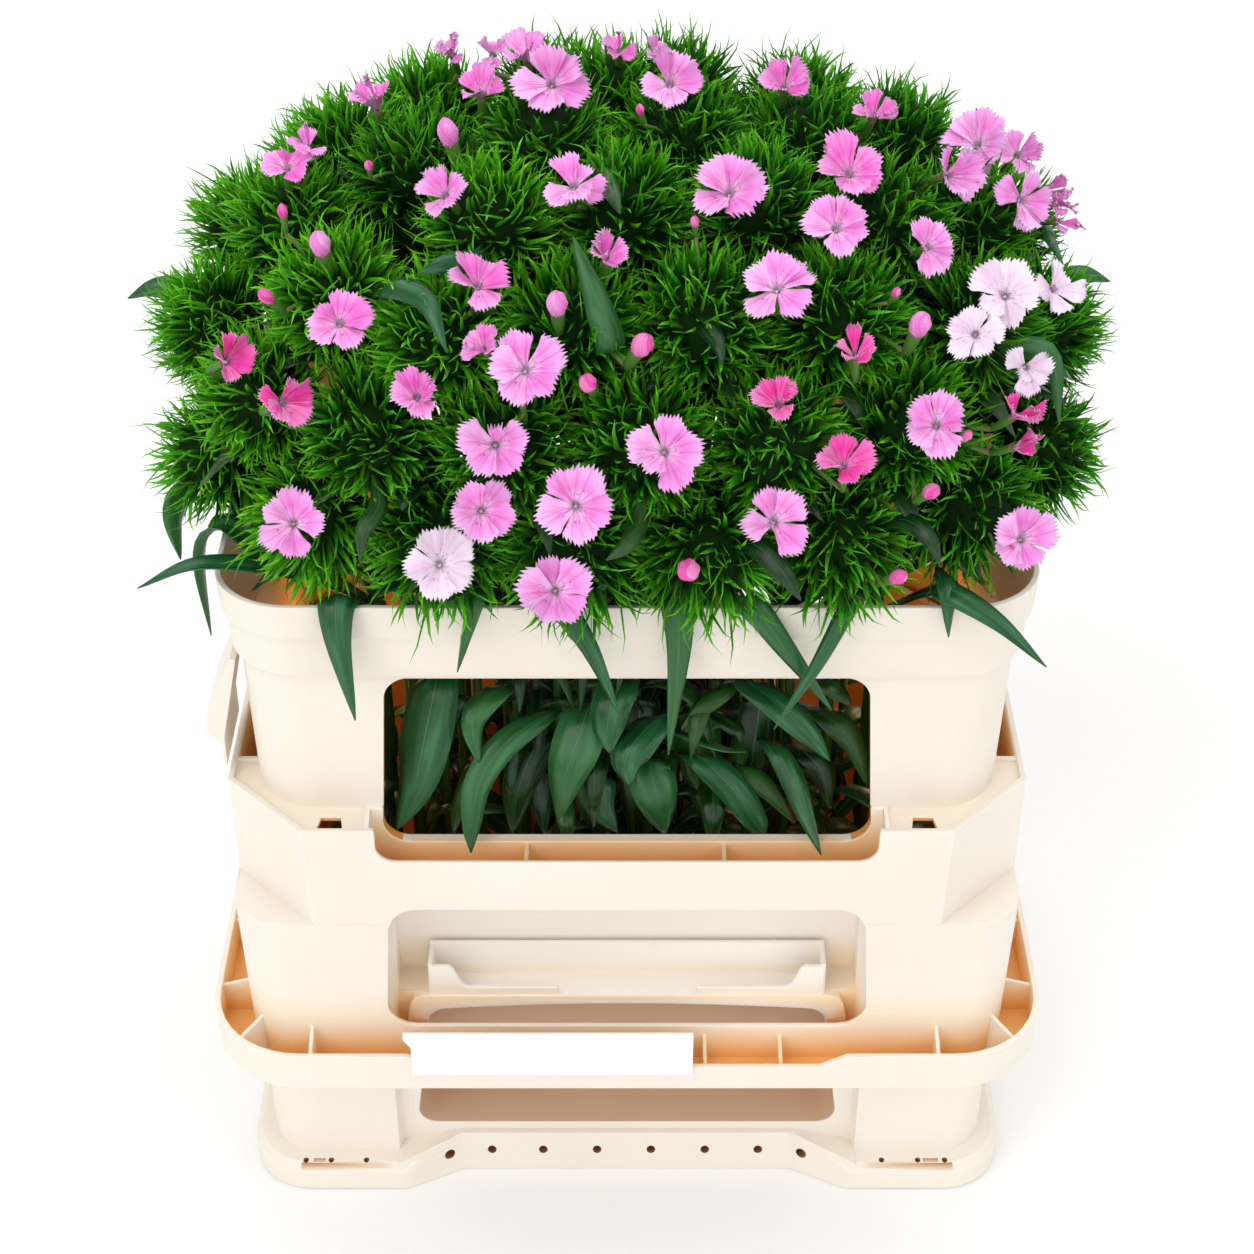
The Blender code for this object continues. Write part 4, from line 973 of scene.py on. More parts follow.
def make_flower(name, spot, facing, radius, openness, tone, seed, root):
    rng = np.random.default_rng(seed)
    solid = Solid()
    openness = openness - (0.15 if openness > 0.8 else 0.0) * rng.uniform(0.2, 1.6)
    f3 = face_frame(facing, rng.uniform(0, 1.25))
    order = 2 * np.pi / 5
    # one petal may stand up or lie back, so that a gap opens beside it
    tilts = rng.normal(0, 0.13, 5)
    odd = rng.integers(5)
    tilts[odd] += rng.choice((0.0, 0.55, -0.35, 0.8), p=(0.35, 0.3, 0.2, 0.15))
    for p in range(5):
        grid = petal_grid(radius * 1.08, p * order + rng.normal(0, 0.15), openness, rng,
                          rng.uniform(0.84, 1.06), tilts[p])
        rows, cols = grid.shape[:2]
        verts, faces = thin_shell(grid, 0.24)
        t = np.linspace(0, 1, rows)
        u = (p + 0.5 + 0.47 * np.linspace(-1, 1, cols)) / 5
        maps = np.stack(np.meshgrid(u, 0.01 + 0.98 * t), -1).reshape(-1, 2)
        solid.add(put(f3, spot, verts), np.concatenate([maps, maps]), faces, 0)
    # stamens and two styles, thin and laid outwards
    for k in range(9):
        a = k * 2.399 + rng.uniform(0, 0.5)
        lean = rng.uniform(0.25, 1.1) * (0.35 + 0.65 * openness)
        long = radius * rng.uniform(0.20, 0.36)
        way = np.array((math.cos(a), math.sin(a), 0.0))
        line = np.array([way * 0.5 + (0, 0, -1.0), way * lean * long * 0.45 + (0, 0, long * 0.55),
                         way * lean * long + (0, 0, long * (1.0 - 0.35 * lean) + 0.6)])
        verts, maps, faces = tube(curve_through(line, 6),
                                  (0.17, 0.15, 0.13, 0.12, 0.15, 0.24), 4)
        solid.add(put(f3, spot, verts), maps, faces, 1)
    # calyx: a ribbed cup with five teeth, down to the head
    depth = 15.0
    z = np.array((-depth, -depth + 2, -9.0, -5.0, -2.4, -0.7))
    r = np.array((1.2, 1.7, 2.1, 2.0, 1.95, 2.2)) * (0.62 + radius / 45.0)
    verts, maps, faces = tube(np.stack([z * 0, z * 0, z], 1), r, 10)
    verts = verts.reshape(6, 10, 3)
    verts[5, ::2, 2] += 1.1
    verts[5, ::2, :2] *= 1.12
    solid.add(put(f3, spot, verts.reshape(-1, 3)), maps, faces, 2)
    # the pale throat that closes the middle
    verts, maps, faces = tube(np.array([(0, 0, -0.55), (0, 0, 0.1), (0, 0, 0.5)]),
                              np.array((1.25, 1.05, 0.45)) * (0.6 + radius / 40.0), 10)
    solid.add(put(f3, spot, verts), maps * 0.0 + 0.03, faces, 0)
    stalk = curve_through([root, (root + put(f3, spot, (0, 0, -depth - 4))) / 2
                           + np.array((0, 0, 1.5)), put(f3, spot, (0, 0, -depth + 0.6))], 6)
    verts, maps, faces = tube(stalk, np.linspace(0.9, 1.1, 6), 6)
    solid.add(verts, maps, faces, 2)
    return solid.build(name, [PINKS[tone], STAMEN, CALYX])


def make_bud(name, spot, facing, radius, tone, seed, root):
    """A furled bud: five petals wound round each other above a calyx."""
    rng = np.random.default_rng(seed)
    solid = Solid()
    f3 = face_frame(facing, rng.uniform(0, 6))
    rows, cols = 11, 30
    t = np.linspace(0, 1, rows)
    a = np.linspace(0, 2 * np.pi, cols, endpoint=False)
    profile = radius * np.array((0.36, 0.46, 0.55, 0.62, 0.68, 0.72, 0.72, 0.66, 0.54, 0.34, 0.06))
    z = radius * (-0.2 + 2.55 * t)
    wound = (a[None, :] + 1.9 * t[:, None]) / (2 * np.pi) * 5
    saw = wound - np.floor(wound)
    r = profile[:, None] * (1.0 + 0.20 * (saw - 0.5) * np.sin(np.pi * t)[:, None])
    zz = z[:, None] + radius * 0.14 * (saw - 0.5) * (t ** 3)[:, None]
    verts = np.stack([r * np.cos(a), r * np.sin(a), zz], -1)
    i, k = np.meshgrid(np.arange(rows - 1), np.arange(cols), indexing="ij")
    a0, a1 = (i * cols + k).ravel(), (i * cols + (k + 1) % cols).ravel()
    quads = np.stack([a0, a1, a1 + cols, a0 + cols], 1)
    fan = np.arange(1, cols - 1)
    last = (rows - 1) * cols
    caps = np.concatenate([np.stack([fan * 0, fan + 1, fan], 1),
                           np.stack([fan * 0 + last, last + fan, last + fan + 1], 1)])
    column = np.floor(wound) % 5
    u = (column + 0.04 + 0.92 * saw) / 5
    maps = np.stack([u, 0.45 + 0.5 * t[:, None] * np.ones(cols)[None, :]], -1)
    solid.add(put(f3, spot, verts.reshape(-1, 3)), maps.reshape(-1, 2), [quads, caps], 0)
    deep = radius * 2.3
    zc = np.array((-deep, -deep * 0.85, -deep * 0.5, -deep * 0.2, radius * 0.12, radius * 0.5))
    rc = radius * np.array((0.20, 0.36, 0.46, 0.50, 0.54, 0.66))
    verts, maps, faces = tube(np.stack([zc * 0, zc * 0, zc], 1), rc, 10)
    verts = verts.reshape(6, 10, 3)
    verts[5, ::2, 2] += radius * 0.55
    verts[5, 1::2, 2] -= radius * 0.25
    solid.add(put(f3, spot, verts.reshape(-1, 3)), maps, faces, 1)
    foot = put(f3, spot, (0, 0, -deep + 0.5))
    stalk = curve_through([root, (root + foot) / 2 + np.array((0, 0, 1.5)), foot], 6)
    verts, maps, faces = tube(stalk, np.full(6, min(1.0, radius * 0.2 + 0.3)), 6)
    solid.add(verts, maps, faces, 1)
    return solid.build(name, [PINKS[tone], CALYX])


def turned(px, py, right, up):
    """The way a flower at (px, py) looks, tilted right and up from the eye."""
    _, ray = sight_ray(px, py)
    ray = np.array(ray)
    x = np.array((1.0, 0.0, 0.0))
    y = unit(np.cross(ray, x)) * -1.0
    if y[2] < 0:
        y = -y
    return unit(-ray + x * right + y * up)


def host_of(spot):
    return min(range(len(CENTRES)), key=lambda i: (CENTRES[i] - spot).length)


def flower_spots():
    """Spot, facing, radius, openness, tone and root of every flower."""
    out = []
    for px, py, half, tone, openness, right, up in FLOWERS:
        spot = seen_on_dome(px, py, 25.0 if py < 200 else 29.5, DOME_Z0 - 8.0)
        host = CENTRES[host_of(spot)]
        gap = np.array(spot) - EYE
        depth = gap[1] * math.cos(PITCH) - gap[2] * math.sin(PITCH)
        out.append((np.array(spot), turned(px, py, right, up), half * depth / FOCAL,
                    openness * 0.90, tone,
                    np.array(host + (spot - host).normalized() * 9.0)))
    for x, y, tone in FLOWERS_BACK:
        spot = plan_on_dome(x, y, 17.0, DOME_Z0 - 8.0)
        host = CENTRES[host_of(spot)]
        rng = np.random.default_rng(500 + len(out))
        facing = unit(np.array(dome_normal(spot, 30.0)) + rng.normal(0, 0.22, 3)
                      + np.array((0, 0, 0.25)))
        out.append((np.array(spot), facing, rng.uniform(13.0, 16.5), rng.uniform(0.72, 0.94),
                    tone, np.array(host + (spot - host).normalized() * 9.0)))
    return out


SPOTS = flower_spots()
OPEN = [(spot, facing, radius) for spot, facing, radius, *_ in SPOTS]


def make_flowers():
    for k, (spot, facing, radius, openness, tone, root) in enumerate(SPOTS):
        make_flower("flower_%02d" % (k + 1), spot, facing, radius, openness, tone,
                    101 + k, root)
    for k, (px, py, half, tone) in enumerate(BUDS):
        spot = seen_on_dome(px, py, 28.0, DOME_Z0 - 8.0)
        host = CENTRES[host_of(spot)]
        ray = (spot - host).normalized()
        rng = np.random.default_rng(900 + k)
        facing = unit(np.array(dome_normal(spot, 30.0)) * 0.6 + np.array(ray) * 0.5
                      + rng.normal(0, 0.16, 3) + turned(px, py, rng.uniform(-0.5, 0.5), 2.2) * 0.9)
        make_bud("bud_%02d" % (k + 1), np.array(spot), facing, half / 2.1, tone, 900 + k,
                 np.array(host + ray * 9.0))
    for k, (x, y, tone) in enumerate(BUDS_BACK):
        spot = plan_on_dome(x, y, 17.0, DOME_Z0 - 8.0)
        host = CENTRES[host_of(spot)]
        ray = (spot - host).normalized()
        rng = np.random.default_rng(950 + k)
        facing = unit(np.array(dome_normal(spot, 30.0)) + rng.normal(0, 0.2, 3))
        make_bud("bud_%02d" % (len(BUDS) + k + 1), np.array(spot), facing,
                 rng.uniform(3.5, 5.8), tone, 950 + k, np.array(host + ray * 9.0))


# --------------------------------------------------------------------- stems
# heads in a lighter, yellower copy of the bract green: those at the left and along the top, where the light
# falls; painted light
LIT_HEADS = (1, 7, 8, 15, 16, 17, 23, 24, 25, 30, 31, 38, 40, 42, 44, 46, 48, 51, 53, 54)


def make_stems():
    extra = {}

    def give(index, shape, mat):
        extra.setdefault(index, []).append((shape, mat))

    for k, (path, width, across) in enumerate(RIM_LEAVES):
        foot = Vector(path[0])
        if foot.z > 360.0:
            host = min(range(len(CENTRES)), key=lambda i: (CENTRES[i] - foot).length)
            start = []
        else:
            host = min(range(len(CENTRES)), key=lambda i: (
                stalk_point(CENTRES[i], 0.9).xy - foot.xy).length)
            start = [tuple(stalk_point(CENTRES[host], 0.74))]
        give(host, leaf(start + path, width, unit(across), k % LEAF_COLS,
                        seg=22, thick=0.7, cup=0.34, wave=0.10, seed=k), 2)
    for k, (path, width) in enumerate(SMALL_LEAVES):
        foot = Vector(path[0])
        host = min(range(len(CENTRES)), key=lambda i: (CENTRES[i] - foot).length)
        give(host, leaf(path, width, (1.0, 0.3, 0.0), k % LEAF_COLS, seg=14, thick=0.6,
                        cup=0.3, wave=0.08, seed=k), 2)
    for k, (points, width, mat) in enumerate(DOME_LEAVES):
        path = [np.array(seen_on_dome(px, py, (20.0, 32.0, 35.0)[n], DOME_Z0 - 8.0))
                for n, (px, py) in enumerate(points)]
        host = min(range(len(CENTRES)), key=lambda i: (
            CENTRES[i] - Vector(tuple(path[0]))).length)
        start = np.array(CENTRES[host]) * 0.45 + path[0] * 0.55
        across = np.cross(path[-1] - path[0], path[1] - EYE)
        give(host, leaf([start] + path, width, unit(across), k % LEAF_COLS, seg=14,
                        thick=0.6, cup=0.3, wave=0.06, seed=k), mat)
    for k, (points, width, sweep, lit) in enumerate(WINDOW_LEAVES):
        for back in (False, True):
            path = [at_depth(px, py, y) for px, py, y in points]
            if back:
                path = [p * np.array((-1.0, -1.0, 1.0)) for p in path]
            foot = Vector(tuple(path[0]))

            def stalk_at(i, z):
                head = CENTRES[i]
                return smooth_stalk(head, (z - 4.5) / (head.z - 4.5))
            host = min(range(len(CENTRES)), key=lambda i: (
                stalk_at(i, foot.z).xy - foot.xy).length)
            start = np.array(stalk_at(host, foot.z - 14.0))
            across = (1, 0, 0)
            give(host, leaf([start] + path, width, unit(across), (k + 2 * back) % LEAF_COLS,
                            seg=18, thick=0.7, cup=0.26, wave=0.10, seed=k, belly=0.50,
                            sweep=sweep * (-1 if back else 1)), 2 if lit else 3)

    for i, head in enumerate(CENTRES):
        rng = np.random.default_rng(7000 + i)
        solid = Solid()
        centre, axis = np.array(head), head_axis(head)
        # stalk with swollen joints
        ts = np.linspace(0, 0.955, 34)
        line = np.array([tuple(smooth_stalk(head, t)) for t in ts])
        joints = np.array((0.16, 0.31, 0.46, 0.60, 0.73, 0.84)) + rng.normal(0, 0.012, 6)
        swell = sum(np.exp(-((ts - j) / 0.012) ** 2) for j in joints)
        radii = 2.15 - 0.45 * ts + 0.75 * swell
        verts, maps, faces = tube(line, radii, 8)
        solid.add(verts, maps, faces, 1)
        # a dark ball as painted shade inside, broad bracts, then fine loose ones
        verts, maps, faces = shade_ball(centre, axis, 19.5)
        solid.add(verts, maps, faces, 4)
        edge = head.z < 386.0 and head.y < 60.0
        rear = head.z < 410.0 and head.y >= 60.0
        lift = (-0.50, -0.05) if edge else (-0.36, 0.0) if rear else 0.18
        more, low = (3.0, 2.25) if edge else (0.0, 2.25) if rear else (0.0, 2.0)
        if abs(head.x) > 165.0:
            more = 0.0
        near = [f for f in OPEN if np.linalg.norm(f[0] - centre) < 58.0]
        # heads on the lit side take the lighter copy: painted light
        tuft = 5 if i + 1 in LIT_HEADS else 0
        solid.add(*bracts(rng, centre, axis, 245, (1.7, 2.6), (27.0, 33.5 + more), 0.12,
                          low, lift, near), tuft, False)
        solid.add(*bracts(rng, centre, axis, 120, (1.1, 1.7), (31.0, 37.5 + more), 0.18,
                          low + 0.1, lift, near), tuft, False)
        # loose blades in the shaded leaf copy that close the gaps under the heads: painted shade
        for n in range(7):
            a = n * 2.399963 + rng.uniform(0, 0.6)
            out = np.array((math.cos(a), math.sin(a), 0.0))
            at = np.array(smooth_stalk(head, 0.84))
            rise = centre[2] - at[2]
            path = np.array([at, at + out * 9 + (0, 0, rise * 0.35),
                             at + out * 20 + (0, 0, rise * 0.72),
                             at + out * rng.uniform(28, 36) + (0, 0, rise * rng.uniform(0.45, 1.0))])
            shift = (centre - at) * (1, 1, 0)
            path[1:] += shift * np.array((0.3, 0.7, 1.0))[:, None]
            path[:, 0] = np.clip(path[:, 0], -197.0, 197.0)
            low = path[:, 2] < 356.0
            path[low, 0] = np.clip(path[low, 0], -166.0, 166.0)
            path[low, 1] = np.clip(path[low, 1], -110.0, 110.0)
            across = np.array((-math.sin(a), math.cos(a), 0.0))
            verts, maps, faces = leaf(path, rng.uniform(14, 21), across,
                                      int(rng.integers(LEAF_COLS)), seg=7, thick=0.5,
                                      cup=0.12, seed=i + n)
            solid.add(verts, maps, faces, 3)
        # pairs of leaves at the joints, inside the container, in the shaded leaf copy: painted shade
        for n, j in enumerate(joints[1:5]):
            at = np.array(smooth_stalk(head, j))
            if abs(at[0]) > 62.0 and 190.0 < at[2] < 330.0:
                continue
            turn = rng.uniform(0, math.pi)
            for half in (0.0, math.pi):
                a = turn + half + rng.normal(0, 0.2)
                out = np.array((math.cos(a), math.sin(a), 0.0))
                long = rng.uniform(38, 58)
                path = [at, at + out * long * 0.35 + np.array((0, 0, long * 0.30)),
                        at + out * long * 0.75 + np.array((0, 0, long * 0.28)),
                        at + out * long + np.array((0, 0, -long * rng.uniform(0.0, 0.3)))]
                path = np.array(path)
                lim_x, lim_y = 160.0, 104.0
                if at[2] < 195:
                    lim_y = 76.0
                elif at[2] < 330:
                    lim_x = 70.0
                path[:, 0] = np.clip(path[:, 0], -lim_x, lim_x)
                path[:, 1] = np.clip(path[:, 1], -lim_y, lim_y)
                across = np.array((-math.sin(a), math.cos(a), 0.0))
                verts, maps, faces = leaf(path, rng.uniform(9, 14), across,
                                          int(rng.integers(LEAF_COLS)), seg=7, thick=0.6,
                                          cup=0.25, wave=0.08, seed=i + n)
                solid.add(verts, maps, faces, 3)
        for (verts, maps, faces), mat in extra.get(i, []):
            solid.add(verts, maps, faces, mat)
        solid.build("stem_%02d_grown" % (i + 1), [TUFT, STALK, LEAF, LEAF_SHADED, HEAD_SHADE, TUFT_LIT_COPY],
                    ("stem_%02d" % (i + 1),))


# ----------------------------------------------------------------- container
NC = 11                                  # points to a rounded corner
HOLES_X = (-88.6, -67.6, -42.0, -15.0, 12.0, 39.0, 65.6, 87.1)

FOOT_X, FOOT_Y, FOOT_R, FOOT_H = 187.5, 138.5, 30.0, 18.0
BUCKET_X, BUCKET_Y, BUCKET_R = 177.4, 127.7, 22.0
BUCKET_TOP, SHOULDER_Z, BUCKET_WALL = 190.0, 172.0, 3.3
RECESS_X, RECESS_Y = 114.0, 117.0
GRIP_X, GRIP_Y, GRIP_TOP = 106.0, 121.5, 118.0
POCKET_X, POCKET_Z0, POCKET_Z1, POCKET_Y = 103.0, 31.0, 113.0, 86.5
SHELF_X = 94.5
SKIRT_X, SKIRT_Y, SKIRT_R = 200.0, 150.0, 45.0
SKIRT_Z0, SKIRT_Z1, SKIRT_DIP = 84.0, 106.0, 99.0
GUTTER_Z, LEDGE_Z = 87.0, 175.0
BAND_Z, BAND_DIP = 233.0, 214.0
UPPER_X, UPPER_Y, UPPER_R = 169.5, 115.0, 30.0
RIM_Z, RIM_X, RIM_Y = 347.0, 178.6, 123.2
WIN_UP = (110.6, 106.4, 212.0, 305.0, 12.0)
WIN_LOW = (113.0, 110.0, 108.5, 184.0, 14.0)
DEEP_Z = 196.0


def plain_object(name, verts, faces):
    mesh = bpy.data.meshes.new(name)
    mesh.from_pydata([tuple(c * MM for c in v) for v in verts], [], faces)
    bm = bmesh.new()
    bm.from_mesh(mesh)
    bmesh.ops.recalc_face_normals(bm, faces=bm.faces)
    bm.to_mesh(mesh)
    bm.free()
    obj = bpy.data.objects.new(name, mesh)
    bpy.context.scene.collection.objects.link(obj)
    return obj


def boolean(obj, tool, operation):
    mod = obj.modifiers.new("bool", "BOOLEAN")
    mod.operation = operation
    mod.solver = "EXACT"
    mod.object = tool
    bake_modifiers(obj)
    bpy.data.objects.remove(tool, do_unlink=True)
    return obj


def bake_modifiers(obj):
    bpy.context.view_layer.update()
    deps = bpy.context.evaluated_depsgraph_get()
    mesh = bpy.data.meshes.new_from_object(obj.evaluated_get(deps))
    obj.modifiers.clear()
    old = obj.data
    obj.data = mesh
    bpy.data.meshes.remove(old)


def ring(hx, hy, corner, z, chamfer=False, n=None, cx=0.0, cy=0.0):
    n = n or NC
    points = []
    for quarter in range(4):
        sx = 1 if quarter in (0, 3) else -1
        sy = 1 if quarter in (0, 1) else -1
        for k in range(n):
            t = k / (n - 1)
            if quarter in (1, 3):
                t = 1.0 - t
            if chamfer:
                x, y = hx - corner * t, hy - corner * (1.0 - t)
            else:
                a = t * math.pi / 2
                x = hx - corner + corner * math.cos(a)
                y = hy - corner + corner * math.sin(a)
            points.append((cx + sx * x, cy + sy * y, z))
    return points


def loft(name, rings, closed=False):
    n, count = len(rings[0]), len(rings)
    verts = [p for r in rings for p in r]
    faces = []
    for i in range(count if closed else count - 1):
        a, b = i * n, ((i + 1) % count) * n
        for k in range(n):
            m = (k + 1) % n
            faces.append((a + k, a + m, b + m, b + k))
    if not closed:
        faces.append(tuple(range(n - 1, -1, -1)))
        faces.append(tuple(range(len(verts) - n, len(verts))))
    return plain_object(name, verts, faces)


def block(x0, x1, y0, y1, z0, z1):
    verts = [(x, y, z) for z in (z0, z1) for x, y in
             ((x0, y0), (x1, y0), (x1, y1), (x0, y1))]
    faces = [(3, 2, 1, 0), (4, 5, 6, 7)] + [
        (k, (k + 1) % 4, 4 + (k + 1) % 4, 4 + k) for k in range(4)]
    return verts, faces


def prism(outline, a, b, axis):
    """A prism along an axis; the outline holds the other two coordinates."""
    def place(p, at):
        if axis == "x":
            return at, p[0], p[1]
        if axis == "y":
            return p[0], at, p[1]
        return p[0], p[1], at
    n = len(outline)
    verts = [place(p, a) for p in outline] + [place(p, b) for p in outline]
    faces = [tuple(range(n)), tuple(range(2 * n - 1, n - 1, -1))] + [
        (k, (k + 1) % n, n + (k + 1) % n, n + k) for k in range(n)]
    return verts, faces


def mirrored(part, x=False, y=False):
    verts, faces = part
    return [(-v[0] if x else v[0], -v[1] if y else v[1], v[2]) for v in verts], faces


def group(parts):
    verts, faces = [], []
    for v, f in parts:
        base = len(verts)
        verts += list(v)
        faces += [tuple(base + k for k in face) for face in f]
    return plain_object("tool", verts, faces)


def window(half_low, half_high, z0, z1, r, n=None, arch=0.0):
    """Outline of a window with round corners; arch lifts the middle of its top."""
    n = n or NC
    points = []
    for quarter in range(4):
        sx = 1 if quarter in (0, 3) else -1
        top = quarter in (0, 1)
        half = half_high if top else half_low
        cz = z1 - r if top else z0 + r
        sz = 1 if top else -1
        for k in range(n):
            t = k / (n - 1)
            if quarter in (1, 3):
                t = 1.0 - t
            a = t * math.pi / 2
            points.append((sx * (half - r + r * math.cos(a)), cz + sz * r * math.sin(a)))
        if arch and quarter == 0:
            steps = 15
            for k in range(1, steps):
                x = (half - r) * (1 - 2 * k / steps)
                points.append((x, z1 + arch * (1 - (x / (half - r)) ** 2)))
    return points


def round_hole(x, z, r, n=14, tall=1.0):
    return [(x + r * math.cos(2 * math.pi * k / n), z + tall * r * math.sin(2 * math.pi * k / n))
            for k in range(n)]


def finish_shell(obj, width, levels, late=()):
    """Rounds the edges, adds level lines for soft changes of colour."""
    bm = bmesh.new()
    bm.from_mesh(obj.data)
    bmesh.ops.remove_doubles(bm, verts=bm.verts, dist=2e-6)
    bmesh.ops.dissolve_limit(bm, angle_limit=math.radians(0.7), verts=bm.verts,
                             edges=bm.edges, use_dissolve_boundaries=False)
    bm.to_mesh(obj.data)
    bm.free()
    obj.data.materials.clear()
    obj.data.materials.append(CREAM)
    obj.data.materials.append(CREAM_EDGE_HIGHLIGHT)
    obj.data.polygons.foreach_set("material_index", np.zeros(len(obj.data.polygons), np.int32))
    # only outer edges that have room for it are rounded
    bm = bmesh.new()
    bm.from_mesh(obj.data)
    weight = bm.edges.layers.float.new("bevel_weight_edge")
    for e in bm.edges:
        if len(e.link_faces) != 2 or e.calc_length() < 1.1 * MM:
            continue
        if e.calc_face_angle_signed(0.0) < math.radians(33):
            continue
        if min(o.calc_length() for v in e.verts for o in v.link_edges) < width * 0.9 * MM:
            continue
        e[weight] = 1.0
    bm.to_mesh(obj.data)
    bm.free()
    mod = obj.modifiers.new("edges", "BEVEL")
    mod.width = width * MM
    mod.segments = 2
    mod.limit_method = "WEIGHT"
    mod.use_clamp_overlap = False
    # the rounded strips take the lighter copy: a painted highlight
    mod.material = 1
    bake_modifiers(obj)
    for tool in late:
        boolean(obj, tool, "DIFFERENCE")
    bm = bmesh.new()
    bm.from_mesh(obj.data)
    for z in levels:
        bmesh.ops.bisect_plane(bm, geom=bm.verts[:] + bm.edges[:] + bm.faces[:],
                               dist=1e-7, plane_co=(0, 0, z * MM), plane_no=(0, 0, 1))
    bmesh.ops.triangulate(bm, faces=[f for f in bm.faces if len(f.verts) > 4])
    bm.to_mesh(obj.data)
    bm.free()
    obj.data.polygons.foreach_set("use_smooth", np.ones(len(obj.data.polygons), bool))
    obj.data.set_sharp_from_angle(angle=math.radians(50))
    mod = obj.modifiers.new("even", "WEIGHTED_NORMAL")
    mod.keep_sharp = True
    mod.weight = 60


def corner_data(mesh):
    """Per corner: its position, that moved a little way into its face, and
    the face's normal (mm)."""
    co = np.zeros(len(mesh.vertices) * 3)
    mesh.vertices.foreach_get("co", co)
    co = co.reshape(-1, 3) / MM
    index = np.zeros(len(mesh.loops), np.int32)
    mesh.loops.foreach_get("vertex_index", index)
    total = np.zeros(len(mesh.polygons), np.int32)
    mesh.polygons.foreach_get("loop_total", total)
    centre = np.zeros(len(mesh.polygons) * 3)
    mesh.polygons.foreach_get("center", centre)
    normal = np.zeros(len(mesh.polygons) * 3)
    mesh.polygons.foreach_get("normal", normal)
    owner = np.repeat(np.arange(len(total)), total)
    at, middle = co[index], centre.reshape(-1, 3)[owner] / MM
    gap = middle - at
    far = np.linalg.norm(gap, axis=1, keepdims=True)
    return at, at + gap * np.minimum(0.35 / np.maximum(far, 1e-6), 0.6), \
        normal.reshape(-1, 3)[owner]


def write_corner(mesh, name, values):
    made = mesh.attributes.new(name, "FLOAT", "CORNER")
    made.data.foreach_set("value", np.clip(values, 0, 1).astype(np.float32))


def along(values, *stops):
    return np.interp(values, [s[0] for s in stops], [s[1] for s in stops])


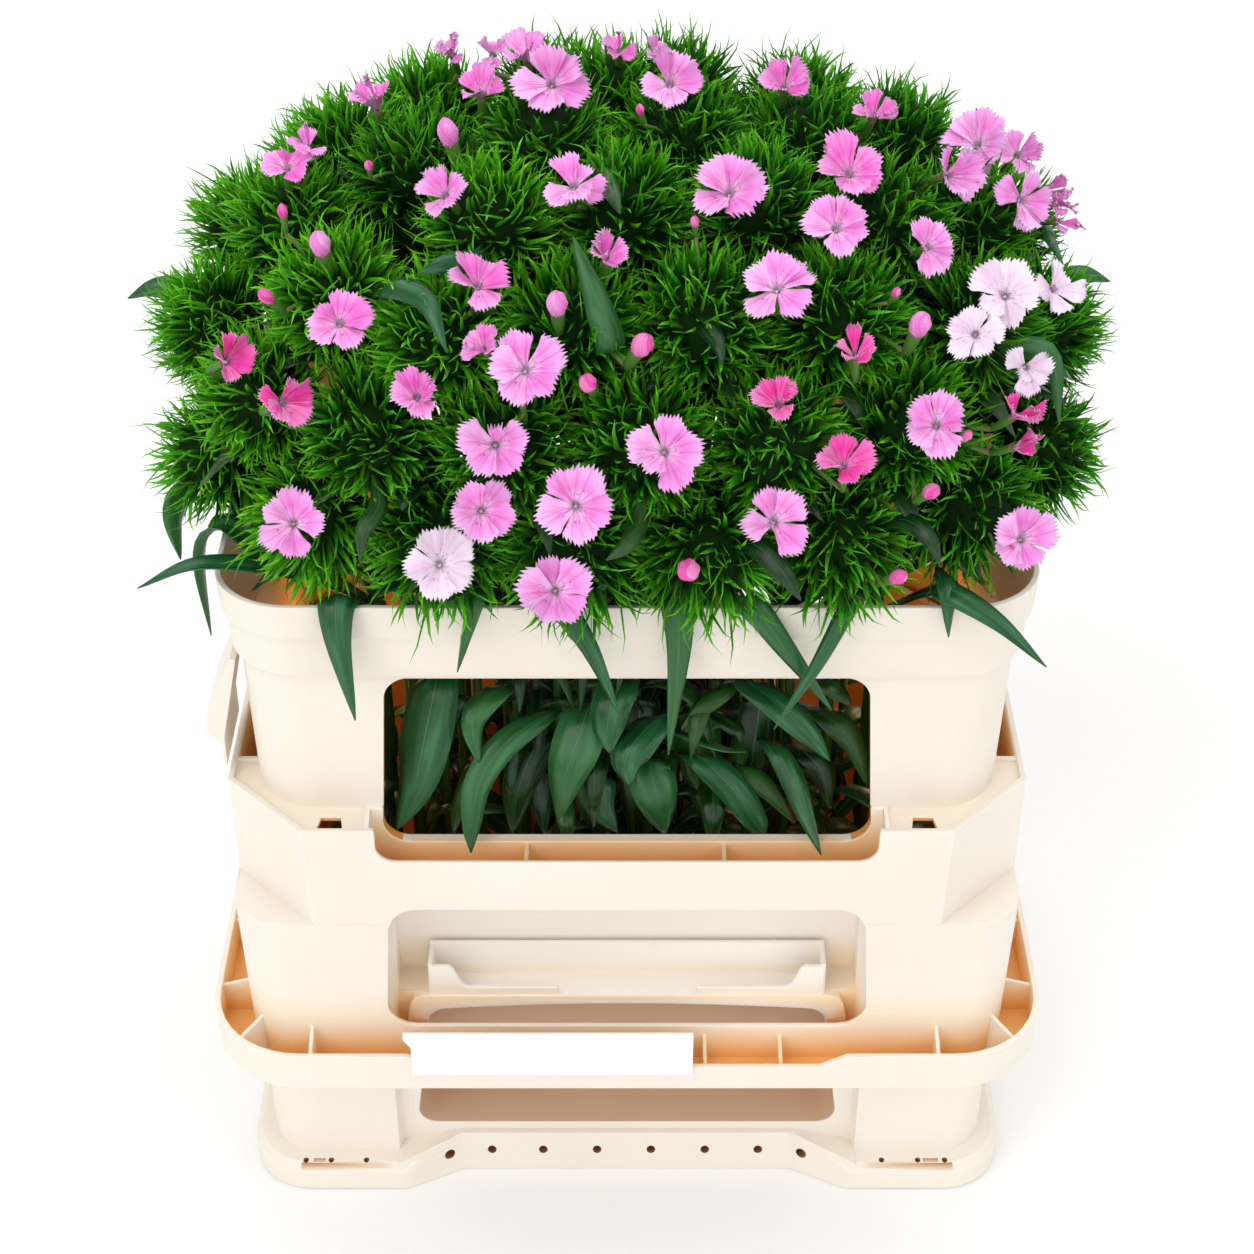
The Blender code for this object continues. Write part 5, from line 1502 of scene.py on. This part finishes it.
def make_bucket():
    body = loft("bucket_moulded", [
        ring(FOOT_X - 1.5, FOOT_Y - 1.5, FOOT_R - 1.5, 0.0),
        ring(FOOT_X, FOOT_Y, FOOT_R, 1.5),
        ring(FOOT_X, FOOT_Y, FOOT_R, 13.0),
        ring(FOOT_X - 3.0, FOOT_Y - 3.0, FOOT_R - 3.0, FOOT_H - 0.6),
        ring(BUCKET_X + 0.2, BUCKET_Y + 0.2, BUCKET_R, FOOT_H),
        ring(BUCKET_X, BUCKET_Y, BUCKET_R, SHOULDER_Z - 0.2),
        ring(BUCKET_X - 0.4, BUCKET_Y - 0.6, 38.0, SHOULDER_Z, True),
        ring(BUCKET_X - 0.4, BUCKET_Y - 0.6, 38.0, BUCKET_TOP, True),
    ])
    ix, iy = BUCKET_X - BUCKET_WALL, BUCKET_Y - BUCKET_WALL
    inside = loft("inside", [
        ring(ix - 1.0, iy - 1.0, 16.0, 4.0),
        ring(ix, iy, 17.0, SHOULDER_Z - 3.6),
        ring(ix - 0.2, iy - 0.2, 37.5, SHOULDER_Z - 3.0, True),
        ring(ix - 0.2, iy - 0.2, 37.5, BUCKET_TOP + 20.0, True),
    ])
    low = block(-117.5, 117.5, -140.0, -(POCKET_Y - 3.0), 1.0, 122.0)
    high = block(-118.5, 118.5, -141.0, -97.0, 0.5, BUCKET_TOP + 30.0)
    boolean(inside, group([low, mirrored(low, y=True)]), "DIFFERENCE")
    boolean(inside, group([high, mirrored(high, y=True)]), "DIFFERENCE")
    boolean(body, inside, "DIFFERENCE")
    recess = prism([(-RECESS_X - 0.6, -131.0), (RECESS_X + 0.6, -131.0),
                    (RECESS_X - 4.5, -RECESS_Y), (-RECESS_X + 4.5, -RECESS_Y)],
                   FOOT_H + 0.4, BUCKET_TOP + 10.0, "z")
    upper = block(-109.3, 109.3, -125.0, -101.5, GRIP_TOP, BUCKET_TOP + 12.0)
    boolean(body, group([recess, mirrored(recess, y=True)]), "DIFFERENCE")
    boolean(body, group([upper, mirrored(upper, y=True)]), "DIFFERENCE")
    for flip in (False, True):
        brow = prism([(-125.4, 2.0), (-125.4, 25.6), (-123.9, 26.6), (-112.0, 26.6),
                      (-112.0, 2.0)], -84.4, 84.4, "x")
        boolean(body, group([mirrored(brow, y=flip)]), "UNION")
        for side in (False, True):
            wing = ([(-84.0, -126.0, 5.0), (-84.0, -112.5, 5.0), (-113.4, -112.5, 5.0),
                     (-113.4, -138.0, 5.0), (-84.0, -126.0, 26.2), (-84.0, -112.5, 26.2),
                     (-113.4, -112.5, 18.3), (-113.4, -138.0, 18.3)],
                    [(0, 1, 2, 3), (7, 6, 5, 4), (0, 4, 5, 1), (1, 5, 6, 2),
                     (2, 6, 7, 3), (3, 7, 4, 0)])
            boolean(body, group([mirrored(wing, x=side, y=flip)]), "UNION")
    setback = prism([(-112.8, -139.6), (112.8, -139.6), (82.0, -124.5), (-82.0, -124.5)],
                    -1.0, FOOT_H + 14.0, "z")
    boolean(body, group([setback, mirrored(setback, y=True)]), "DIFFERENCE")
    frame_box = prism([(-112.8, 12.0), (112.8, 12.0), (111.6, 60.0), (107.2, 92.0),
                       (103.9, GRIP_TOP - 6.0),
                       (101.8, GRIP_TOP - 2.0), (97.5, GRIP_TOP), (-97.5, GRIP_TOP),
                       (-101.8, GRIP_TOP - 2.0), (-103.9, GRIP_TOP - 6.0),
                       (-107.2, 92.0), (-111.6, 60.0)],
                      -GRIP_Y, -100.0, "y")
    boolean(body, group([frame_box]), "UNION")
    boolean(body, group([mirrored(frame_box, y=True)]), "UNION")
    pocket = prism(window(103.0, 95.5, POCKET_Z0, POCKET_Z1 - 3.6, 9.0, arch=3.4),
                   -128.0, -POCKET_Y, "y")
    boolean(body, group([pocket, mirrored(pocket, y=True)]), "DIFFERENCE")
    for flip in (False, True):
        tray = [
            block(-SHELF_X, SHELF_X, -105.6, -103.5, GRIP_TOP - 2.0, 138.0),
            block(-60.0, -33.0, -120.4, -118.4, GRIP_TOP - 2.0, 122.4),
            block(33.0, 60.0, -120.4, -118.4, GRIP_TOP - 2.0, 122.4),
        ]
        ends = [
            block(SHELF_X - 2.0, SHELF_X, -119.9, -104.5, GRIP_TOP - 2.0, 137.2),
            prism([(59.0, GRIP_TOP - 2.0), (SHELF_X - 0.8, GRIP_TOP - 2.0),
                   (SHELF_X - 0.8, 136.2), (84.5, 136.2), (82.6, 134.6), (78.6, 124.6),
                   (76.4, 122.6), (59.0, 122.6)], -120.6, -118.2, "y"),
        ]
        for part in tray:
            boolean(body, group([mirrored(part, y=flip)]), "UNION")
        for part in ends:
            for side in (False, True):
                boolean(body, group([mirrored(part, x=side, y=flip)]), "UNION")
    # moulded holes: a row in the sloped face, small slots over the corners
    holes = []
    for x in HOLES_X:
        holes.append(prism(round_hole(x, 14.2, 2.2 if abs(x) < 80 else 2.5, 16, 1.25), -140.0, -112.0, "y"))
    slots = []
    for x in (-159.6, -147.1, -129.6, 126.6, 144.6, 158.0):
        slots.append(prism(round_hole(x, -134.3, 1.45, 10), 11.0, 24.0, "z"))
    for x0, x1 in ((-155.6, -150.0), (147.2, 154.6)):
        slots.append(block(x0, x1, -135.4, -133.2, 16.6, 24.0))
    late = []
    for flip in (False, True):
        late.append(group([mirrored(h, y=flip) for h in holes]))
        late.append(group([mirrored(s, y=flip) for s in slots]))
    finish_shell(body, 0.55, (24, 31, 36, 42, 50, 60, 72, 86, 96, 100, 104, 108, 112,
                              118, 124, 132, 142, 156, 168), late)
    mesh = body.data
    p, c, n = corner_data(mesh)
    ax, ay, z = np.abs(c[:, 0]), np.abs(c[:, 1]), c[:, 2]
    painted_glow, painted_shade = np.zeros(len(p)), np.zeros(len(p))
    # painted shade in the grip pocket, darker towards its top
    inner = (ax < 103.6) & (ay < 121.0) & (ay > 86.0) & (z > 30.6) & (z < 114.0)
    painted_shade[inner] = along(p[inner, 2], (31, 0.30), (45, 0.36), (70, 0.52), (96, 0.76), (113, 0.80))
    # a painted lighter patch on the underside of the pocket's arch
    lens = inner & (n[:, 2] < -0.6) & (np.abs(p[:, 0]) < 60)
    painted_shade[lens] = 0.45
    # painted glow: the gap between the bucket and the collar is painted orange, strongest towards its
    # bottom
    gap = (z > 92) & (ax > 96) & (ay > 98) & (ay < 126.5) & (ax < 124) & ~inner
    painted_glow[gap] = along(p[gap, 2], (96, 0.52), (108, 0.40), (122, 0.16), (136, 0.04), (150, 0.0))
    side = gap & (ax < 110) & (n[:, 2] > 0.5)
    painted_glow[side] = along(np.abs(p[side, 1]), (101.5, 0.10), (113, 0.16), (121.5, 0.26))
    shelf = (ax < 96) & (ay > 101) & (ay < 121) & (z > 116) & (z < 150) & (np.abs(n[:, 2]) < 0.5)
    painted_glow[shelf] = np.maximum(painted_glow[shelf], along(p[shelf, 2], (117, 0.16), (124, 0.05), (134, 0.0)))
    # painted glow on the inner walls and floor of the bucket
    inside_faces = (c[:, 0] * n[:, 0] + c[:, 1] * n[:, 1] < -30) & (ax < 174.4) & (ay < 124.6) \
        & ((ax > 118) | (ay < 84) | (ay < 97.5) & (z > 122)) & (z > 4)
    painted_glow[inside_faces & (painted_shade == 0)] = 0.85
    floor = (z < 5) & (z > 3) & (ax < 172) & (ay < 122) & (n[:, 2] > 0.5)
    painted_glow[floor] = 0.9
    # painted shade inside the round holes and the slots
    round_ = np.zeros(len(p), bool)
    for x in HOLES_X:
        round_ |= (np.abs(c[:, 0] - x) < 2.9) & (np.abs(z - 14.2) < 3.4)
    deep_in = round_ & (ay > 111.5) & (ay < 139) & (np.abs(n[:, 1]) < 0.75)
    painted_shade[deep_in] = 1.0
    slot_ = (ay > 132.4) & (ay < 136.2) & (z > 10.5) & (z < 17.4) & (ax > 124) & (ax < 162)
    painted_shade[slot_ & (np.abs(n[:, 2]) < 0.7)] = 0.95
    painted_shade[slot_ & (np.abs(n[:, 2]) > 0.7)] = np.where(z[slot_ & (np.abs(n[:, 2]) > 0.7)] > 15, 0.3, 0.95)
    # painted light: the shaded recess above the grip is painted paler
    recess = (ax < 113.0) & (ay < 122.0) & (ay > 96.0) & (z > 115.0) & (z < 189.0)
    pale = np.where(recess, 0.9, 0.0)
    write_corner(mesh, "painted_glow", painted_glow)
    write_corner(mesh, "painted_shade", painted_shade)
    write_corner(mesh, "pale", pale)
    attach(body, "root")
    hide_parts("bucket")
    return body


def make_collar():
    ox, oy = SKIRT_X, SKIRT_Y
    body = loft("collar_moulded", [
        ring(ox - 0.8, oy - 0.8, SKIRT_R - 0.8, SKIRT_Z0),
        ring(ox, oy, SKIRT_R, SKIRT_Z1),
        ring(ox - 2.8, oy - 2.8, SKIRT_R - 2.8, SKIRT_Z1),
        ring(ox - 3.4, oy - 3.4, SKIRT_R - 3.4, GUTTER_Z),
        ring(181.3, 131.5, 24.0, GUTTER_Z),
        ring(183.6, 133.3, 24.0, LEDGE_Z),
        ring(183.3, 133.0, 39.0, LEDGE_Z, True),
        ring(183.0, 135.0, 37.0, BAND_Z, True),
        ring(180.4, 132.4, 36.0, BAND_Z, True),
        ring(180.2, 132.2, 36.0, BAND_Z - 3.0, True),
        ring(UPPER_X, UPPER_Y, UPPER_R, BAND_Z - 3.0),
        ring(171.5, 117.0, 30.0, 305.0),
        ring(174.6, 119.8, 31.0, 309.0),
        ring(175.8, 120.8, 32.0, 327.0),
        ring(177.7, 122.5, 33.0, 330.0),
        ring(RIM_X, RIM_Y, 33.0, RIM_Z),
        ring(RIM_X - 2.6, RIM_Y - 2.6, 31.0, RIM_Z),
        ring(174.9, 119.7, 30.0, 330.0),
        ring(168.9, 114.4, 28.0, 304.0),
        ring(167.0, 112.4, 28.0, BAND_Z - 5.6),
        ring(180.2, 132.0, 35.0, BAND_Z - 5.6, True),
        ring(180.7, 130.4, 37.0, LEDGE_Z - 2.4, True),
        ring(181.0, 130.7, 19.5, LEDGE_Z - 2.6),
        ring(178.7, 128.9, 19.5, SKIRT_Z0),
    ], closed=True)
    trough = block(-118.2, 118.2, -133.0, -112.0, DEEP_Z - 2.6, BAND_Z - 1.4)
    hollow = block(-115.6, 115.6, -132.2, -117.6, DEEP_Z, BAND_Z + 20.0)
    side = block(166.6, 182.0, -82.0, 82.0, DEEP_Z - 2.6, BAND_Z - 1.4)
    side_hollow = block(171.9, 180.0, -79.4, 79.4, DEEP_Z, BAND_Z + 20.0)
    for part in (trough, mirrored(trough, y=True), side, mirrored(side, x=True)):
        boolean(body, group([part]), "UNION")
    boolean(body, group([hollow, mirrored(hollow, y=True), side_hollow,
                         mirrored(side_hollow, x=True)]), "DIFFERENCE")
    dip = [(-113.0, BAND_Z + 9.0), (-113.0, BAND_DIP + 9.0)]
    for k in range(1, 7):
        a = math.pi / 2 * k / 7
        dip.append((-104.0 - 9.0 * math.cos(a), BAND_DIP + 9.0 - 9.0 * math.sin(a)))
    dip.append((-104.0, BAND_DIP))
    dip = dip + [(-x, z) for x, z in reversed(dip)]
    dip = prism(dip, -140.0, -125.0, "y")
    boolean(body, group([dip, mirrored(dip, y=True)]), "DIFFERENCE")
    plates = [block(-46.6, -44.6, -132.6, -117.0, DEEP_Z - 1.5, 211.0),
              block(43.2, 45.2, -132.6, -117.0, DEEP_Z - 1.5, 211.0)]
    for part in plates + [mirrored(p, y=True) for p in plates]:
        boolean(body, group([part]), "UNION")
    upper = prism(window(*WIN_UP), -124.0, -104.0, "y")
    lower = prism(window(*WIN_LOW), -140.0, -124.0, "y")
    boolean(body, group([upper, mirrored(upper, y=True)]), "DIFFERENCE")
    boolean(body, group([lower, mirrored(lower, y=True)]), "DIFFERENCE")
    edge = prism([(-104.0, SKIRT_Z1 + 4.0), (-104.0, SKIRT_Z1 + 0.01), (-91.0, SKIRT_DIP),
                  (91.0, SKIRT_DIP), (104.0, SKIRT_Z1 + 0.01), (104.0, SKIRT_Z1 + 4.0)],
                 -154.0, -142.0, "y")
    boolean(body, group([edge, mirrored(edge, y=True)]), "DIFFERENCE")
    for x, top in ((-150.0, 103.0), (-73.0, 97.0), (-37.0, 97.0), (37.0, 97.0),
                   (73.0, 97.0), (147.5, 103.0)):
        rib = prism([(-131.0, GUTTER_Z - 1.0), (-131.0, top + 6.0), (-148.2, top),
                     (-148.2, GUTTER_Z - 1.0)], x - 0.9, x + 0.9, "x")
        boolean(body, group([rib]), "UNION")
        boolean(body, group([mirrored(rib, y=True)]), "UNION")
    for y in (-98.0, -52.0, 0.0, 52.0, 98.0):
        rib = prism([(180.8, GUTTER_Z - 1.0), (180.8, 108.0), (198.2, 103.0),
                     (198.2, GUTTER_Z - 1.0)], y - 0.9, y + 0.9, "y")
        boolean(body, group([rib]), "UNION")
        boolean(body, group([mirrored(rib, x=True)]), "UNION")
    for sx in (-1, 1):
        for sy in (-1, 1):
            rib, faces = prism([(-1.8, GUTTER_Z - 1.0), (-1.8, 109.0), (14.2, 103.0),
                                (14.2, GUTTER_Z - 1.0)], -0.9, 0.9, "y")
            turn = math.atan2(sy, sx)
            ca, sa = math.cos(turn), math.sin(turn)
            placed = [(sx * 175.5 + ca * x - sa * y, sy * 125.5 + sa * x + ca * y, z)
                      for x, y, z in rib]
            boolean(body, group([(placed, faces)]), "UNION")
    # square holes in the gutter floor and in the ledges
    cuts = []
    for x0, x1 in ((39.4, 43.4), (67.4, 71.4), (75.0, 79.0)):
        cuts += [block(x0, x1, -139.4, -135.4, 82.0, 90.0), block(-x1, -x0, -139.4, -135.4, 82.0, 90.0)]
    for s in (-1, 1):
        outline = [(s * 127.6, -131.0), (s * 139.4, -131.0), (s * 138.0, -121.6), (s * 129.0, -121.6)]
        cuts.append(prism(outline, BAND_Z - 8.0, BAND_Z + 2.0, "z"))
    for flip in (False, True):
        boolean(body, group([mirrored(c, y=flip) for c in cuts]), "DIFFERENCE")
    finish_shell(body, 0.55, (90, 94, 98, 102, 106, 110, 115, 121, 128, 136, 146, 158, 176,
                              200, 206, 212, 219, 226, 240, 262, 284, 300, 316, 324, 331,
                              336, 341, 345))
    mesh = body.data
    p, c, n = corner_data(mesh)
    ax, ay, z = np.abs(c[:, 0]), np.abs(c[:, 1]), c[:, 2]
    px, py, pz = np.abs(p[:, 0]), np.abs(p[:, 1]), p[:, 2]
    painted_glow, painted_shade = np.zeros(len(p)), np.zeros(len(p))
    radial = (c[:, 0] * n[:, 0] / 170.0 + c[:, 1] * n[:, 1] / 118.0)
    # painted glow inside the collar, fading towards the rim
    inner = (radial < -0.2) & (ax < 176.0) & (ay < 121.0) & (z > 110)
    painted_glow[inner] = along(pz[inner], (227, 0.82), (262, 0.76), (300, 0.62), (322, 0.52),
                        (335, 0.42), (344, 0.28), (347, 0.10))
    low_in = (radial < -0.2) & (z < 228) & (((ax < 181.5) & (ay < 128)) | ((ay < 131.2) & (ax < 179)))
    painted_glow[low_in & ~inner] = 0.8
    # skirt gutter: painted glow, strongest at its floor
    outer = round_rect(c[:, 0], c[:, 1], SKIRT_X - 2.1, SKIRT_Y - 2.1, SKIRT_R - 2.1)
    gut = (z > 86) & (z < 110) & (outer < 0.0) & ((ax > 180.4) | (ay > 130.6))
    painted_glow[gut] = along(pz[gut], (87, 0.58), (93, 0.46), (99, 0.30), (104, 0.14), (109, 0.08))
    floor = gut & (n[:, 2] > 0.7) & (z < 89)
    painted_glow[floor] = 0.60
    # painted glow on the wall over the gutter, fading upwards
    wall = (z > 86) & (z < 160) & (radial > 0.3) & (ax < 184.5) & (ay < 134.5)
    painted_glow[wall] = along(pz[wall], (87, 0.56), (93, 0.44), (99, 0.28), (106, 0.17), (118, 0.10),
                       (134, 0.055), (158, 0.0))
    # deep gutters: painted glow, strongest at their bottom
    deep = (ax < 116.2) & (ay > 116.8) & (ay < 133.0) & (z > 195) & (z < 231)
    painted_glow[deep] = along(pz[deep], (196, 0.56), (204, 0.48), (212, 0.36), (222, 0.22), (232, 0.08))
    deep_s = (ay < 79.9) & (ax > 171.0) & (ax < 181.0) & (z > 195) & (z < 232.4)
    painted_glow[deep_s] = along(pz[deep_s], (196, 0.62), (214, 0.52), (228, 0.40), (233, 0.28))
    shelf = (z > 227) & (z < 231) & (n[:, 2] > 0.7) & (ax > 117)
    painted_glow[shelf] = np.maximum(painted_glow[shelf], 0.09)
    cut = (ax > 126.5) & (ax < 140.5) & (ay > 121) & (ay < 131.6) & (z > 226) & (z < 229.8) \
        & (np.abs(n[:, 2]) < 0.5)
    painted_glow[cut] = 0.6
    # painted light: the deep gutters are painted a paler cream
    pale = np.where((ax < 118.0) & (ay > 116.0) & (ay < 134.0) & (z > 195.0) & (z < 232.0), 0.9, 0.0)
    write_corner(mesh, "painted_glow", painted_glow)
    write_corner(mesh, "painted_shade", painted_shade)
    write_corner(mesh, "pale", pale)
    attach(body, "root")
    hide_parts("collar")
    return body


def dress_cad_nodes():
    """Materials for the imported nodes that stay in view."""
    # the side clip takes a faint painted glow, the label none
    for name, mat, painted_glow in (("label_card", PAPER, 0.0), ("side_clip", CREAM, 0.05)):
        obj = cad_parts[name]
        obj.data.materials.clear()
        obj.data.materials.append(mat)
        for key, value in (("painted_glow", painted_glow), ("painted_shade", 0.0), ("pale", 0.0)):
            made = obj.data.attributes.new(key, "FLOAT", "CORNER")
            made.data.foreach_set("value", np.full(len(obj.data.loops), value, np.float32))


# ------------------------------------------------------------ floor and light
def stage():
    m = Nodes("studio_floor")
    tone = m.noise(1.4, 2.0, 0.5)
    m.set(colour=m.ramp(tone, [(0.3, (0.950, 0.950, 0.950)), (0.7, (0.965, 0.965, 0.965))]),
          specular=0.05)
    m.set(rough=m.range(tone, 0.3, 0.7, 0.85, 0.95))
    mesh = bpy.data.meshes.new("floor")
    n, radius = 96, 6.0
    mesh.from_pydata([(radius * math.cos(2 * math.pi * k / n), radius * math.sin(2 * math.pi * k / n),
                       -0.0002) for k in range(n)], [], [tuple(range(n))])
    mesh.materials.append(m.mat)
    floor = bpy.data.objects.new("floor", mesh)
    bpy.context.scene.collection.objects.link(floor)

    world = bpy.data.worlds.new("studio")
    bpy.context.scene.world = world
    world.use_nodes = True
    tree = world.node_tree
    way = tree.nodes.new("ShaderNodeTexCoord").outputs["Generated"]
    total = None
    # soft boxes: direction, radius (degrees) and how bright
    for at, spread, power in (((-0.60, -0.62, 0.62), 23.0, 1.45), ((0.72, -0.45, 0.58), 19.0, 1.20),
                              ((0.05, -0.93, 0.34), 18.0, 0.80),
                              ((0.10, 0.30, 0.95), 27.0, 1.35), ((-0.15, 0.85, 0.45), 18.0, 0.9)):
        dot = tree.nodes.new("ShaderNodeVectorMath")
        dot.operation = "DOT_PRODUCT"
        tree.links.new(way, dot.inputs[0])
        dot.inputs[1].default_value = tuple(Vector(at).normalized())
        soft = tree.nodes.new("ShaderNodeMapRange")
        soft.interpolation_type = "SMOOTHSTEP"
        tree.links.new(dot.outputs["Value"], soft.inputs[0])
        for k, value in enumerate((math.cos(math.radians(spread + 7)),
                                   math.cos(math.radians(spread - 7)), 0.0, power)):
            soft.inputs[k + 1].default_value = value
        add = tree.nodes.new("ShaderNodeMath")
        add.operation = "ADD"
        tree.links.new(soft.outputs[0], add.inputs[0])
        if total is None:
            add.inputs[1].default_value = 0.56
        else:
            tree.links.new(total, add.inputs[1])
        total = add.outputs[0]
    tree.nodes["Background"].inputs[0].default_value = (1.0, 1.0, 1.0, 1.0)
    tree.links.new(total, tree.nodes["Background"].inputs[1])

    def area(name, at, look, size, power, colour=(1, 1, 1)):
        data = bpy.data.lights.new(name, "AREA")
        data.shape = "RECTANGLE"
        data.size, data.size_y = size
        data.energy = power
        data.color = colour
        obj = bpy.data.objects.new(name, data)
        bpy.context.scene.collection.objects.link(obj)
        obj.location = at
        obj.rotation_euler = (Vector(look) - Vector(at)).to_track_quat("-Z", "Y").to_euler()
        return obj

    # the orange light that the thin walls let through, at both ends inside
    for side in (-1, 1):
        data = bpy.data.lights.new("wall_glow", "POINT")
        data.energy = 0.10
        data.shadow_soft_size = 0.025
        data.color = (1.0, 0.66, 0.40)
        obj = bpy.data.objects.new("wall_glow", data)
        bpy.context.scene.collection.objects.link(obj)
        obj.location = (side * 0.139, 0.020, 0.215)
        obj.visible_camera = False

    area("key", (-0.9, -1.0, 2.4), (0, 0, 0.3), (1.2, 1.2), 6.0, (1.0, 0.995, 0.985))


make_collar()
make_bucket()
dress_cad_nodes()
make_stems()
make_flowers()
stage()
